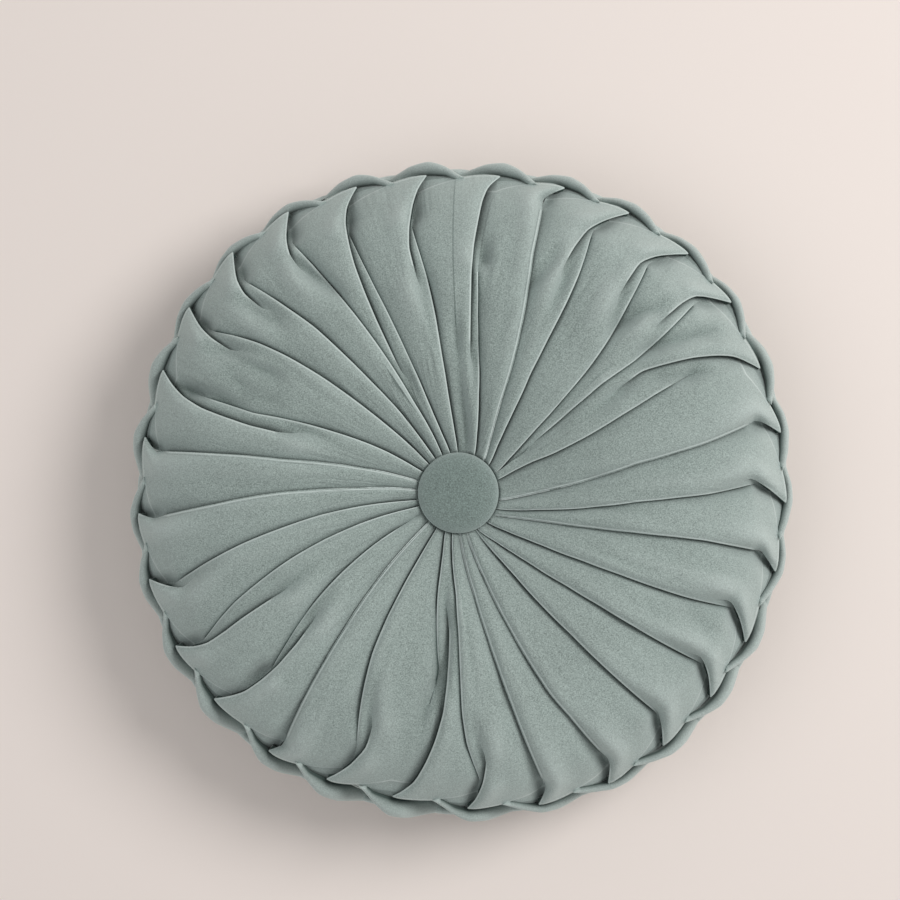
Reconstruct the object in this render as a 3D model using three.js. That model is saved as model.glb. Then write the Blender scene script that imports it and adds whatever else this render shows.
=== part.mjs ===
// Round pleated cushion, lying on its back: a filled velvet cover with a plaited rim, and two covered buttons.
// Millimetres, +Z up. The origin is on the surface, under the middle. +Y is the top of the front face.
// A bearing is an angle in degrees, turning clockwise from +Y as the front face is looked at.

import * as THREE from "three";

// Driving sizes
const OUTER_RADIUS = 192.5; // to the outside of the plait
const OVALITY = 0.982; // the outline is a little shorter from top to bottom than from side to side
const RIM_HEIGHT = 48; // the rim's mid-plane above the surface
const SWELL = 57; // how far a face would swell from the mid-plane without its button
const SWELL_RADIUS = 178; // where the swell ends
const SWELL_FULLNESS = 0.6; // 0.5 for a face that is full right to the rim, 1 for a slack one
const SHOULDER = 8.7; // height of a face above the mid-plane where the swell ends
const PULL_DEPTH = 21; // how far the button draws the face in
const PULL_REACH = 22; // how fast the dimple round the button opens out
const SEAT_RADIUS = 24; // flat of cloth under a button
const SEAT_HEIGHT = 28; // of that flat above the mid-plane
const FOLD_GAP = 2.2; // width of the crevice beside a fold
const EDGE_START = 175; // radius where a pleat's outer edge comes out from under its neighbour
const TIP_RADIUS = 184.5; // radius of a pleat's pointed tip

const BUTTON_RADIUS = 22.8;
const BUTTON_BASE_RADIUS = 18;
const BUTTON_SIDE_HEIGHT = 3.5; // from the base to the widest place
const BUTTON_DOME_HEIGHT = 6.5; // from there to the top
const BUTTON_DOME_FULLNESS = 0.8; // 1 for a round dome, less for one that is flatter on top
const BUTTON_SIDE_STEPS = 3;
const BUTTON_DOME_STEPS = 7;
const BUTTON_SEGMENTS = 36; // round the button
const SEAT_CLEARANCE = 0.3; // between a button and the cloth under it

// Radii at which the table below gives each fold's bearing
const STATION = { hub: 25, inner: 45, middle: 92, outer: 140, knee: 165, tip: TIP_RADIUS };

// The free edge of each pleat, a row for each pleat, clockwise from the top of the face.
// Every fold leans clockwise at its tip, swings back to its knee and curls in to the button.
const FOLDS = [
  { tip: 7.3, knee: 4.8, outer: 3.7, middle: 7.3, inner: 14.6, hub: 22.8 },
  { tip: 19.1, knee: 16.4, outer: 17.2, middle: 21.3, inner: 26.9, hub: 36.3 },
  { tip: 31.6, knee: 27.3, outer: 29.0, middle: 30.6, inner: 36.2, hub: 46.5 },
  { tip: 44.0, knee: 40.1, outer: 42.3, middle: 47.1, inner: 53.1, hub: 60.0 },
  { tip: 55.3, knee: 51.7, outer: 52.7, middle: 53.7, inner: 60.0, hub: 67.0 },
  { tip: 67.8, knee: 62.2, outer: 61.0, middle: 65.1, inner: 68.5, hub: 75.5 },
  { tip: 79.6, knee: 76.8, outer: 78.4, middle: 81.4, inner: 88.9, hub: 98.0 },
  { tip: 92.1, knee: 88.4, outer: 90.2, middle: 93.7, inner: 101.5, hub: 111.0 },
  { tip: 104.3, knee: 100.9, outer: 100.8, middle: 103.2, inner: 110.5, hub: 121.5 },
  { tip: 117.3, knee: 112.9, outer: 114.5, middle: 117.4, inner: 124.4, hub: 134.0 },
  { tip: 129.1, knee: 125.1, outer: 126.3, middle: 129.2, inner: 137.7, hub: 146.5 },
  { tip: 140.9, knee: 138.0, outer: 139.2, middle: 142.1, inner: 148.5, hub: 156.0 },
  { tip: 152.7, knee: 150.7, outer: 152.7, middle: 157.4, inner: 162.9, hub: 167.0 },
  { tip: 164.6, knee: 163.6, outer: 164.7, middle: 167.4, inner: 172.6, hub: 177.0 },
  { tip: 178.0, knee: 175.5, outer: 178.1, middle: 179.6, inner: 183.4, hub: 188.0 },
  { tip: 191.5, knee: 188.6, outer: 185.4, middle: 187.4, inner: 193.0, hub: 198.5 },
  { tip: 204.4, knee: 201.7, outer: 203.6, middle: 209.0, inner: 211.0, hub: 211.5 },
  { tip: 216.2, knee: 215.1, outer: 216.8, middle: 220.2, inner: 223.7, hub: 224.5 },
  { tip: 229.8, knee: 227.0, outer: 227.5, middle: 234.1, inner: 239.0, hub: 238.8 },
  { tip: 241.2, knee: 240.3, outer: 244.0, middle: 249.5, inner: 252.0, hub: 250.4 },
  { tip: 254.2, knee: 252.7, outer: 255.3, middle: 259.8, inner: 262.4, hub: 261.5 },
  { tip: 265.7, knee: 265.3, outer: 266.9, middle: 270.4, inner: 273.1, hub: 273.4 },
  { tip: 278.7, knee: 278.1, outer: 279.1, middle: 281.8, inner: 285.2, hub: 286.0 },
  { tip: 292.1, knee: 289.4, outer: 290.8, middle: 294.9, inner: 300.0, hub: 300.7 },
  { tip: 304.1, knee: 303.4, outer: 307.0, middle: 311.0, inner: 314.4, hub: 314.4 },
  { tip: 316.2, knee: 315.3, outer: 317.5, middle: 321.3, inner: 325.2, hub: 326.0 },
  { tip: 328.6, knee: 326.7, outer: 328.3, middle: 332.0, inner: 335.7, hub: 337.2 },
  { tip: 341.1, knee: 337.6, outer: 337.6, middle: 340.5, inner: 345.5, hub: 350.0 },
  { tip: 354.0, knee: 350.9, outer: 350.8, middle: 354.5, inner: 359.5, hub: 366.0 },
];
const PLEATS = FOLDS.length;

// Section across one pleat, from the crevice beside the last fold to its own free edge.
// across is the share of the way, rise the height over the crown, and pressed the least height over the
// surface, which is more than 0 only where the cloth is too deep in the crevice to be pressed flat.
const PLEAT_SECTION = [
  { place: "valley", across: 0.0, rise: -3.6, pressed: 2.2 },
  { place: "slope", across: 0.3, rise: -0.6, pressed: 0 },
  { place: "swell", across: 0.68, rise: 0.9, pressed: 0 },
  { place: "lip", across: 1.0, rise: 1.3, pressed: 0 },
];
const WIDEST_CREVICE = 0.25; // as a share of its pleat, at the button where the pleats are narrow

// Rings of a face between the button's seat and the pleats' outer edges. relief scales the rise, because the
// pleats are packed tight at the button.
const FACE_RINGS = [
  { radius: STATION.hub, relief: 0.55 },
  { radius: 33, relief: 0.75 },
  { radius: STATION.inner, relief: 0.9 },
  { radius: 67, relief: 1 },
  { radius: STATION.middle, relief: 1 },
  { radius: 117, relief: 1 },
  { radius: STATION.outer, relief: 1 },
  { radius: 154, relief: 1 },
  { radius: STATION.knee, relief: 1 },
];

// The plait's rolled folds. Half widths are in pitches, and the half length is a share of the rim's height.
const BACK_ROLL = { least: 2, most: 8, halfWidth: 0.24 }; // from the back to the front, most at its middle
const FRONT_ROLL = { most: 2.4, halfWidth: 0.26, halfLength: 0.36 }; // shows between two of those

// The rim's round section, on which those folds stand out
const RIM_HALF_WIDTH = 10.5;
const RIM_HALF_HEIGHT = 9.5;
const RIM_CORE_RADIUS = OUTER_RADIUS - BACK_ROLL.most - RIM_HALF_WIDTH; // to the middle of the section
const RIM_TURN = 68; // degrees that the section turns each way from level
const RIM_ROWS = 9;
const RIM_STEPS = 8; // columns to a pleat
const RIM_COLUMNS = PLEATS * RIM_STEPS;
const FRONT_SHIFT = 2; // rim column that meets the first column of the front's edge
const BACK_SHIFT = 13; // rim column that meets the first column of the back's edge

function degrees(angle) {
  return THREE.MathUtils.degToRad(angle);
}

// Place of a point given by its bearing, its radius and its height over the surface
function place(bearing, radius, height) {
  const turn = degrees(bearing);
  return new THREE.Vector3(radius * Math.sin(turn), OVALITY * radius * Math.cos(turn), height);
}

// Height of a face over the mid-plane: a lens with a soft shoulder, drawn in round the button
function crownHeight(radius) {
  const share = Math.min(radius / SWELL_RADIUS, 1);
  const lens = (SWELL - SHOULDER) * Math.pow(1 - share ** 3, SWELL_FULLNESS);
  const dimple = PULL_DEPTH * Math.exp(-(radius - STATION.hub) / PULL_REACH);
  return SHOULDER + lens - dimple;
}

// Bearing of a fold at a radius, by straight steps between the stations
function bearingAt(fold, radius) {
  const names = Object.keys(STATION);
  const last = names.findIndex((name) => STATION[name] >= radius);
  if (last <= 0) {
    return last === 0 ? fold.hub : fold.tip;
  }
  const from = names[last - 1];
  const to = names[last];
  const share = (radius - STATION[from]) / (STATION[to] - STATION[from]);
  return THREE.MathUtils.lerp(fold[from], fold[to], share);
}

// Bearing of fold number k of the front, also past either end of the table
function frontBearing(k, radius) {
  const turns = Math.floor(k / PLEATS);
  return bearingAt(FOLDS[k - turns * PLEATS], radius) + 360 * turns;
}

function tipBearing(k) {
  return frontBearing(k, TIP_RADIUS);
}

// The folds of the back lie half a pitch on from those of the front
function backBearing(k, radius) {
  return (frontBearing(k, radius) + frontBearing(k + 1, radius)) / 2;
}

// One ring of a face: side is 1 for the front and -1 for the back. radiusAt gives the radius for a share of
// the way across a pleat. The back is pressed flat where the cushion rests.
function faceRing(side, radiusAt, relief) {
  const foldBearing = side > 0 ? frontBearing : backBearing;
  const ring = [];
  for (let k = 0; k < PLEATS; k += 1) {
    for (const { across, rise, pressed } of PLEAT_SECTION) {
      const radius = radiusAt(across);
      const start = foldBearing(k - 1, radius);
      const end = foldBearing(k, radius);
      const gap = Math.min(THREE.MathUtils.radToDeg(FOLD_GAP / radius), WIDEST_CREVICE * (end - start));
      const bearing = THREE.MathUtils.lerp(start + gap, end, across);
      const height = RIM_HEIGHT + side * (crownHeight(radius) + relief * rise);
      ring.push(place(bearing, radius, Math.max(height, pressed)));
    }
  }
  return ring;
}

// The ring of a face that bounds the flat seat of its button
function seatRing(side) {
  return faceRing(side, () => SEAT_RADIUS, 0).map((point) => point.setZ(RIM_HEIGHT + side * SEAT_HEIGHT));
}

// All rings of a face, from its seat to the saw-toothed outer edges of its pleats
function faceRings(side) {
  const edge = (across) => THREE.MathUtils.lerp(EDGE_START, TIP_RADIUS, across);
  const rings = FACE_RINGS.map(({ radius, relief }) => faceRing(side, () => radius, relief));
  return [seatRing(side), ...rings, faceRing(side, edge, 1)];
}

// A rounded bump, 1 at its middle and 0 from one half width on
function bump(distance, halfWidth) {
  const share = Math.min(Math.abs(distance) / halfWidth, 1);
  return Math.sqrt(1 - share * share);
}

// How far the rolled folds stand out of the rim's section, at a share of the way down from the front edge to
// the back edge. The columns run along the folds of the back, and column is counted in pitches from a tip.
function rollHeight(column, down) {
  const fromTip = column - Math.round(column);
  const size = THREE.MathUtils.lerp(BACK_ROLL.least, BACK_ROLL.most, Math.sin(Math.PI * down) ** 2);
  const backRoll = size * bump(0.5 - Math.abs(fromTip), BACK_ROLL.halfWidth);
  const frontRoll =
    FRONT_ROLL.most * bump(fromTip, FRONT_ROLL.halfWidth) * bump(down - 0.5, FRONT_ROLL.halfLength);
  return Math.max(backRoll, frontRoll);
}

// One row of the rim, round the whole cushion. Each row lags a little behind the one above, so that the
// columns follow the rolled folds, which take one pitch from the back edge to the front edge.
function rimRow(row) {
  const down = (row + 1) / (RIM_ROWS + 1);
  const turn = degrees(RIM_TURN * (1 - 2 * down));
  const points = [];
  for (let column = 0; column < RIM_COLUMNS; column += 1) {
    const along = column / RIM_STEPS;
    const phase = along - down;
    const k = Math.floor(phase);
    const bearing = THREE.MathUtils.lerp(tipBearing(k - 1), tipBearing(k), phase - k);
    const roll = rollHeight(along, down);
    const radius = RIM_CORE_RADIUS + (RIM_HALF_WIDTH + roll) * Math.cos(turn);
    const height = (RIM_HALF_HEIGHT + roll) * Math.sin(turn);
    points.push(place(bearing, radius, RIM_HEIGHT + height));
  }
  return points;
}

// Gathers points and triangles of one closed surface. Each band below joins a ring to the next one outwards,
// or downwards, with its face on the outside.
class Skin {
  constructor() {
    this.positions = [];
    this.triangles = [];
  }

  addRing(points) {
    const first = this.positions.length / 3;
    for (const point of points) {
      this.positions.push(point.x, point.y, point.z);
    }
    return { first, count: points.length };
  }

  index(ring, column) {
    return ring.first + (((column % ring.count) + ring.count) % ring.count);
  }

  addTriangle(a, b, c) {
    this.triangles.push(a, b, c);
  }

  // A fan from a middle point to a ring, facing along +Z for side 1 and along -Z for side -1
  addCap(middle, ring, side) {
    const centre = this.addRing([middle]).first;
    for (let column = 0; column < ring.count; column += 1) {
      const here = this.index(ring, column);
      const next = this.index(ring, column + 1);
      this.addTriangle(centre, side > 0 ? next : here, side > 0 ? here : next);
    }
  }

  // Between two rings with the same number of columns
  addBand(upper, lower) {
    for (let column = 0; column < upper.count; column += 1) {
      const a = this.index(upper, column);
      const b = this.index(upper, column + 1);
      const c = this.index(lower, column + 1);
      const d = this.index(lower, column);
      this.addTriangle(a, b, c);
      this.addTriangle(a, c, d);
    }
  }

  // Between a face's ring and a rim row with twice its columns, the row turned by shift columns
  addSplitBand(face, row, shift, side) {
    const add = (a, b, c) => (side > 0 ? this.addTriangle(a, b, c) : this.addTriangle(a, c, b));
    for (let column = 0; column < face.count; column += 1) {
      const here = this.index(face, column);
      const next = this.index(face, column + 1);
      const first = 2 * column + shift;
      add(here, next, this.index(row, first + 1));
      add(here, this.index(row, first + 1), this.index(row, first));
      add(next, this.index(row, first + 2), this.index(row, first + 1));
    }
  }

  geometry() {
    const geometry = new THREE.BufferGeometry();
    geometry.setAttribute("position", new THREE.Float32BufferAttribute(this.positions, 3));
    geometry.setIndex(this.triangles);
    geometry.computeVertexNormals();
    return geometry;
  }
}

// The cover: the front's rings outwards, the rim's rows downwards, and the back's rings inwards
function coverGeometry() {
  const skin = new Skin();
  const front = faceRings(1).map((points) => skin.addRing(points));
  const rows = Array.from({ length: RIM_ROWS }, (_, row) => skin.addRing(rimRow(row)));
  const back = faceRings(-1).map((points) => skin.addRing(points));

  skin.addCap(place(0, 0, RIM_HEIGHT + SEAT_HEIGHT), front[0], 1);
  for (let i = 0; i + 1 < front.length; i += 1) {
    skin.addBand(front[i], front[i + 1]);
  }
  skin.addSplitBand(front[front.length - 1], rows[0], FRONT_SHIFT, 1);
  for (let i = 0; i + 1 < rows.length; i += 1) {
    skin.addBand(rows[i], rows[i + 1]);
  }
  skin.addSplitBand(back[back.length - 1], rows[rows.length - 1], BACK_SHIFT, -1);
  for (let i = back.length - 1; i > 0; i -= 1) {
    skin.addBand(back[i], back[i - 1]);
  }
  skin.addCap(place(0, 0, RIM_HEIGHT - SEAT_HEIGHT), back[0], -1);
  return skin.geometry();
}

// A covered button: a flat base, a rolled side and a shallow dome, turned about +Z with its base at height 0
function buttonGeometry() {
  const quarter = Math.PI / 2;
  const profile = [new THREE.Vector2(0, 0)];
  for (let i = 0; i < BUTTON_SIDE_STEPS; i += 1) {
    const turn = (quarter * i) / BUTTON_SIDE_STEPS;
    const radius = BUTTON_BASE_RADIUS + (BUTTON_RADIUS - BUTTON_BASE_RADIUS) * Math.sin(turn);
    const height = BUTTON_SIDE_HEIGHT * (1 - Math.cos(turn));
    profile.push(new THREE.Vector2(radius, height));
  }
  for (let i = 0; i < BUTTON_DOME_STEPS; i += 1) {
    const turn = (quarter * i) / BUTTON_DOME_STEPS;
    const radius = BUTTON_RADIUS * Math.cos(turn);
    const height = BUTTON_SIDE_HEIGHT + BUTTON_DOME_HEIGHT * Math.sin(turn) ** BUTTON_DOME_FULLNESS;
    profile.push(new THREE.Vector2(radius, height));
  }
  profile.push(new THREE.Vector2(0, BUTTON_SIDE_HEIGHT + BUTTON_DOME_HEIGHT));
  const geometry = new THREE.LatheGeometry(profile, BUTTON_SEGMENTS);
  geometry.rotateX(Math.PI / 2);
  return geometry;
}

function velvet(colour) {
  return new THREE.MeshStandardMaterial({ color: colour, roughness: 0.95, metalness: 0 });
}

function buildCushion() {
  const cushion = new THREE.Group();

  const cover = new THREE.Mesh(coverGeometry(), velvet(0x8b9c96));
  cover.name = "cover";

  const frontButton = new THREE.Mesh(buttonGeometry(), velvet(0x77857f));
  frontButton.name = "button_front";
  frontButton.position.z = RIM_HEIGHT + SEAT_HEIGHT + SEAT_CLEARANCE;

  const backButton = new THREE.Mesh(buttonGeometry(), velvet(0x77857f));
  backButton.name = "button_back";
  backButton.position.z = RIM_HEIGHT - SEAT_HEIGHT - SEAT_CLEARANCE;
  backButton.rotation.x = Math.PI;

  cushion.add(cover, frontButton, backButton);
  return cushion;
}

export default buildCushion();
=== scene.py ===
"""Dresses the round pleated cushion: velvet cover, plaited rim, two covered buttons and a pale studio."""

import math
from collections import namedtuple
from functools import partial

import bpy
import numpy as np
from bpy.props import FloatProperty, FloatVectorProperty, PointerProperty
from mathutils import Matrix, Vector


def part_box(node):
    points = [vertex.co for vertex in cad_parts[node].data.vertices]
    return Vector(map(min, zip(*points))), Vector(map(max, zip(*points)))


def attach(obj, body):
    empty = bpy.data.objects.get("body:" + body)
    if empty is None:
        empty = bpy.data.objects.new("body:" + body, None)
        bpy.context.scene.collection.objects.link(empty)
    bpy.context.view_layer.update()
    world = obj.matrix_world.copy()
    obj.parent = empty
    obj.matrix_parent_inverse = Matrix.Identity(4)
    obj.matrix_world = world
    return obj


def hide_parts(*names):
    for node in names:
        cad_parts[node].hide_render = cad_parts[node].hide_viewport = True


bl_info = {
    "name": "Round pleated cushion",
    "version": (1, 0, 0),
    "blender": (4, 5, 0),
    "location": "View3D > Sidebar > Cushion",
    "description": "Makes the pleated cover, the plaited rim, the buttons and the stage of a round cushion",
    "category": "Object",
}

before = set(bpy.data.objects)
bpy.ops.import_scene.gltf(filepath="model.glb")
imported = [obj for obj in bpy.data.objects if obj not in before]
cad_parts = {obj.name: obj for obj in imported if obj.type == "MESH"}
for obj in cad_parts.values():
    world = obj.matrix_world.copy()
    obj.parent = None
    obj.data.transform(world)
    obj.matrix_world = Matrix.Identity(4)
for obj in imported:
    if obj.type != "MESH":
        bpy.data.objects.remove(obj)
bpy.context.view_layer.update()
MM = 0.001

# Lengths are in millimetres and bearings in degrees clockwise from the top, unless a comment says
# otherwise. Heights are measured from the middle plane of the rim, which lies this far over the floor.
MIDDLE = 48.0

# The filled face without its pleats: a dome from the shoulder up to the swell, the radius at which it
# ends, and the two powers that set how full it is.
SHOULDER = 11.0
SWELL = 57.5
SWELL_RADIUS = 186.0
SWELL_POWER = 4.5
SWELL_FULLNESS = 0.7

# The dimple that a button pulls into the dome, and the button's seat, which rises to the dimple at its
# edge.
PULL_DEPTH = 27.5
PULL_REACH = 58.0
PULL_POWER = 1.4
SEAT_RADIUS = 24.2
SEAT_HEIGHT = 28.0
SEAT_FLAT = 22.4
SEAT_EDGE = 1.8

# The toothed edge of a face: the step in from a tip to the next panel's edge, how much that edge
# bulges, the share of the pitch past a tip where the crease beside it ends, and how far the tips are
# cut back on each face.
CREASE_STEP = 9.5
EDGE_BULGE = 0.75
CREASE_END = 0.52
TIP_TRIM = 0.6
BACK_TRIM = 5.0

# The rim's mean radius, and the wall of cloth behind the plait: its mean radius, the height of its
# waves, and how far past a panel's edge it may stand.
RIM_RADIUS = 193.0
WALL_RADIUS = 186.6
WALL_WAVE = 1.6
WALL_STEP = 2.2

# Painted shade about the button, counted as millimetres of rise, and how far it reaches.
HUB_SHADE = 3.2
HUB_REACH = 45.0

# The rim isn't quite round. Its waves: how many to the turn, their height and the bearing of a crest.
RimWave = namedtuple("RimWave", "count height bearing")
RIM_WAVES = (RimWave(2, 0.7, 77.0), RimWave(4, 2.0, 48.0))

# One row for each pleat, in the order of the clock, with bearings seen about the button. The lip is the
# pleat's free edge. It starts at the tip, whose bearing and reach come first, and fades out at lip_end.
# The run is the fold that comes out from under the lip at run_start and goes on to the button, or ends
# at run_end if that isn't 0. Soft is the length over which a run grows. A lip is read at the first of
# LIP_RADII, and a run at the last of RUN_RADII.
LIP_RADII = (174, 165, 152, 140, 123, 106, 92, 78)
RUN_RADII = (165, 140, 123, 100, 78, 56, 45, 34, 25)
Pleat = namedtuple("Pleat", "tip reach lip lip_end run_start run run_end soft", defaults=(0, 8))
PLEATS = (
    Pleat(7.6, 182.0, (5.6, 4.75, 4.2, 3.7, 3.5, 3.9, 4.35, 5.0), 72, 130,
          (5.3, 6.5, 8.7, 12, 14.6, 18.1, 22.8)),
    Pleat(19.3, 184.3, (16.1,), 168, 172, (16.4, 17.2, 18.5, 20.5, 22.6, 24.7, 26.9, 30.9, 36.5)),
    Pleat(31.5, 187.1, (28.1, 26.2, 25.3, 24.95), 133, 169.5,
          (27.4, 29, 29.7, 30.3, 31.3, 34.1, 36.2, 40, 46.7)),
    Pleat(44, 189.4, (39.9, 38.3, 38.6, 39.25), 139, 171,
          (40.1, 42.3, 44.2, 46.4, 48.2, 50.7, 53, 56.5, 62)),
    Pleat(55.2, 190, (50.3, 49.7, 49.7, 49.8), 142, 174.5,
          (51.7, 52.7, 53.2, 52.7, 53.7, 55.5, 57.5, 61, 66.8), 50),
    Pleat(67.7, 186, (63.8, 62.1, 60.1, 58.6, 56.4, 56.8), 103, 150,
          (63, 63.4, 64.6, 66.3, 67.6, 67.2, 68.3, 71.3), 0, 20),
    Pleat(79.5, 187.2, (76.2,), 168, 172, (76.8, 78.4, 79.2, 80.4, 83.1, 86.5, 88.9, 92.8, 97.8)),
    Pleat(91.8, 187.2, (88.9, 87.0), 160, 170, (88.4, 90.2, 91.1, 92.7, 95.5, 99.5, 102.1, 106.7, 111.5)),
    Pleat(104, 186.6, (100.6,), 170, 174, (100.9, 100.8, 101.3, 102.5, 104.3, 107, 109.3, 113.3, 120)),
    Pleat(117.5, 184.3, (114.0, 111.5), 158, 170,
          (112.9, 114.5, 115.4, 116.7, 118.6, 121.8, 124.4, 128.6, 134)),
    Pleat(129, 184.9, (125.8, 123.9), 158, 170,
          (125.1, 126.3, 127.1, 128.5, 130.7, 134.5, 137.7, 142.5, 150)),
    Pleat(141, 185.5, (138.7, 137.1), 164, 170,
          (138, 139.2, 140.1, 141.4, 143.4, 145.6, 147.4, 150.2, 154)),
    Pleat(152.7, 187.2, (150.4,), 166, 171,
          (150.7, 152.7, 154.7, 156.6, 158.7, 161.2, 162.9, 164.7, 166.5)),
    Pleat(165.5, 184.3, (163.2,), 168, 172,
          (163.6, 164.7, 165.5, 166.8, 168.5, 170.7, 172.6, 174.7, 176.5)),
    Pleat(178.3, 180.3, (176.7, 175.2, 174, 174.6), 142, 167,
          (175.5, 178.1, 179, 179.4, 179.9, 181.3, 183.4, 185.8, 188)),
    Pleat(192.2, 176.9, (191.2, 188.6, 186.8, 185.4, 183.9, 183.4, 183.3, 183.6), 64, 123,
          (187.7, 186.4, 189, 191.7, 192.7, 194.4, 197.7), 0, 20),
    Pleat(204.7, 179.7, (203.5, 201.6, 199.9, 200.1), 134, 161,
          (203.6, 205.7, 208.4, 209.9, 210.8, 211, 211.2, 211.3), 0, 16),
    Pleat(216.3, 183.2, (214.6,), 170, 174, (215.1, 216.8, 217.9, 219.5, 221.4, 223.1, 223.7, 224, 223.8)),
    Pleat(229.8, 182.6, (228.4, 227.1, 226.5, 226.35, 227.1, 228.8), 104, 148,
          (227.3, 229.7, 233, 235.9, 238.5, 239.4, 239.6, 239.7), 32),
    Pleat(241.5, 184.3, (239.8, 239.1, 239.4, 240, 240.5, 240.8), 108, 171,
          (240.3, 244, 246, 248.8, 251.1, 252.9, 253.3, 252.8, 251.3)),
    Pleat(254.3, 184.3, (252.3, 250.9), 160, 171,
          (252.7, 255.3, 257, 259, 261.1, 262.4, 262.5, 261.9, 260.4)),
    Pleat(266.2, 184.3, (265,), 168, 172, (265.5, 266.9, 268.2, 269.9, 271, 272.3, 273.1, 273.8, 273.3)),
    Pleat(280, 182.6, (277.5,), 168, 172, (278.1, 279.1, 279.9, 280.8, 282.5, 284.2, 285.2, 285.7, 285.5)),
    Pleat(292.5, 183.2, (290.7, 289.3, 288.3, 288.1, 288, 288.7, 290.8), 95, 162,
          (291, 291.4, 293.9, 296.3, 299.1, 300.3, 300.8, 300.7), 0, 16),
    Pleat(304.5, 187.8, (302.7, 302.1, 302), 147, 171,
          (303.7, 307, 308.7, 310.6, 312.1, 313.6, 314.4, 314.9, 314.5)),
    Pleat(316.8, 189.4, (313.8, 312.9, 313.2), 149, 173,
          (315.3, 317.5, 319.2, 320.7, 322.3, 324.5, 325.2, 325.7, 326)),
    Pleat(328.8, 188.3, (325.9, 324.7, 324.7), 152, 172.5,
          (326.7, 328.3, 329.5, 331.2, 332.8, 334.3, 335.7, 336.9, 337.2)),
    Pleat(341.6, 184.3, (338.7, 337.3, 336.3, 335.6, 335.1, 334.8, 334.8, 334.85), 70, 163,
          (337.6, 338.1, 339.2, 340.4, 341.8, 342.9, 344.9, 348)),
    Pleat(354.3, 182, (352.5, 351.1, 349.6, 348.7, 349.1), 117, 156,
          (350.8, 351.8, 352.8, 353.4, 354.4, 355.3, 356.8, 359)),
)
PITCH = 360.0 / len(PLEATS)
FOLDS = 2 * len(PLEATS)

# Columns of the cover's grid in each pleat: the broad panel, the lip's roll, the narrow gore and the
# run's roll.
PANEL_COLUMNS = 13
ROLL_COLUMNS = 5
GORE_COLUMNS = 7

# Columns of a panel and a gore stand closer beside the folds, by this share of the way at most.
COLUMN_CROWDING = 0.11

# Radii at which every fold's line is kept.
RADII_PER_MM = 2.0
RADII = np.arange(0.0, 200.5, 1.0 / RADII_PER_MM)


# Shapes that every piece uses


def smoothstep(x):
    """0 below 0, 1 above 1, and x squared times (3 - 2x) between."""
    x = np.clip(x, 0.0, 1.0)
    return x * x * (3.0 - 2.0 * x)


def bell(place, middle, half_width):
    """1 at its middle, and falls to 0.37 a half width to either side."""
    return np.exp(-(((place - middle) / half_width) ** 2))


def rounded(line, reach=9):
    """Evenly spaced values with rounded corners: each is the weighted mean of its neighbours in reach."""
    weights = np.hanning(2 * reach + 3)[1:-1]
    before = 2.0 * line[0] - line[reach:0:-1]
    after = 2.0 * line[-1] - line[-2 : -reach - 2 : -1]
    return np.convolve(np.concatenate([before, line, after]), weights / weights.sum(), "valid")


def straight(radii, bearings):
    """Bearings on RADII: straight between the stations, and carried straight on past the two ends."""
    order = np.argsort(radii)
    radii = np.asarray(radii, float)[order]
    bearings = np.asarray(bearings, float)[order]
    inner = bearings[0] + (RADII - radii[0]) * (bearings[1] - bearings[0]) / (radii[1] - radii[0])
    outer = bearings[-1] + (RADII - radii[-1]) * (bearings[-1] - bearings[-2]) / (radii[-1] - radii[-2])
    line = np.interp(RADII, radii, bearings)
    line = np.where(RADII < radii[0], inner, line)
    return np.where(RADII > radii[-1], outer, line)


# How a fold comes and goes along its line: how far past its end that starts, and over which length. In
# RUN_FADE and RUN_TRACE_FADE the run's own soft length is added to that.
Fade = namedtuple("Fade", "past length")
LIP_FADE = Fade(2.0, 16.0)
LIP_TRACE_FADE = Fade(30.0, 40.0)
RUN_FADE = Fade(2.0, 0.0)
RUN_TRACE_FADE = Fade(18.0, 16.0)
RUN_END_FADE = Fade(10.0, 20.0)
RUN_END_TRACE_FADE = Fade(25.0, 40.0)

# The least angle between a lip and its run in degrees, and the radius inside which the folds keep their
# bearings.
LEAST_GORE = 0.15
HELD_RADIUS = 20.0


def grows_outwards(end, fade):
    """0 to 1 on RADII, rising outwards from a little inside the end."""
    return smoothstep((RADII - end + fade.past) / fade.length)


def grows_inwards(start, fade, soft):
    """0 to 1 on RADII, rising inwards from a little outside the start."""
    return smoothstep((start + fade.past - RADII) / (soft + fade.length))


def pleat_lines(pleat):
    """Lip and run of one pleat on RADII: their bearings, their strengths, and the traces that they leave.

    Inside its last station the lip keeps its distance from the run, and outside its start the run keeps
    its distance from the lip. A trace goes on further than the fold that leaves it.
    """
    run = straight(RUN_RADII[-len(pleat.run) :], pleat.run)
    lip_radii = LIP_RADII[: len(pleat.lip)]
    lip = straight((pleat.reach - TIP_TRIM, *lip_radii), (pleat.tip, *pleat.lip))
    last = np.searchsorted(RADII, lip_radii[-1])
    lip = np.where(RADII < lip_radii[-1], run - (run[last] - lip[last]), lip)
    start = np.searchsorted(RADII, pleat.run_start)
    run = np.where(RADII > pleat.run_start, lip + max(run[start] - lip[start], LEAST_GORE), run)
    run = np.maximum(run, lip + LEAST_GORE)
    lip_strength = grows_outwards(pleat.lip_end, LIP_FADE)
    run_strength = grows_inwards(pleat.run_start, RUN_FADE, pleat.soft)
    lip_trace = grows_outwards(pleat.lip_end, LIP_TRACE_FADE)
    run_trace = grows_inwards(pleat.run_start, RUN_TRACE_FADE, pleat.soft)
    if pleat.run_end:
        run_strength = run_strength * grows_outwards(pleat.run_end, RUN_END_FADE)
        run_trace = run_trace * grows_outwards(pleat.run_end, RUN_END_TRACE_FADE)
    return rounded(lip), rounded(run), lip_strength, run_strength, lip_trace, run_trace


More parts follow.
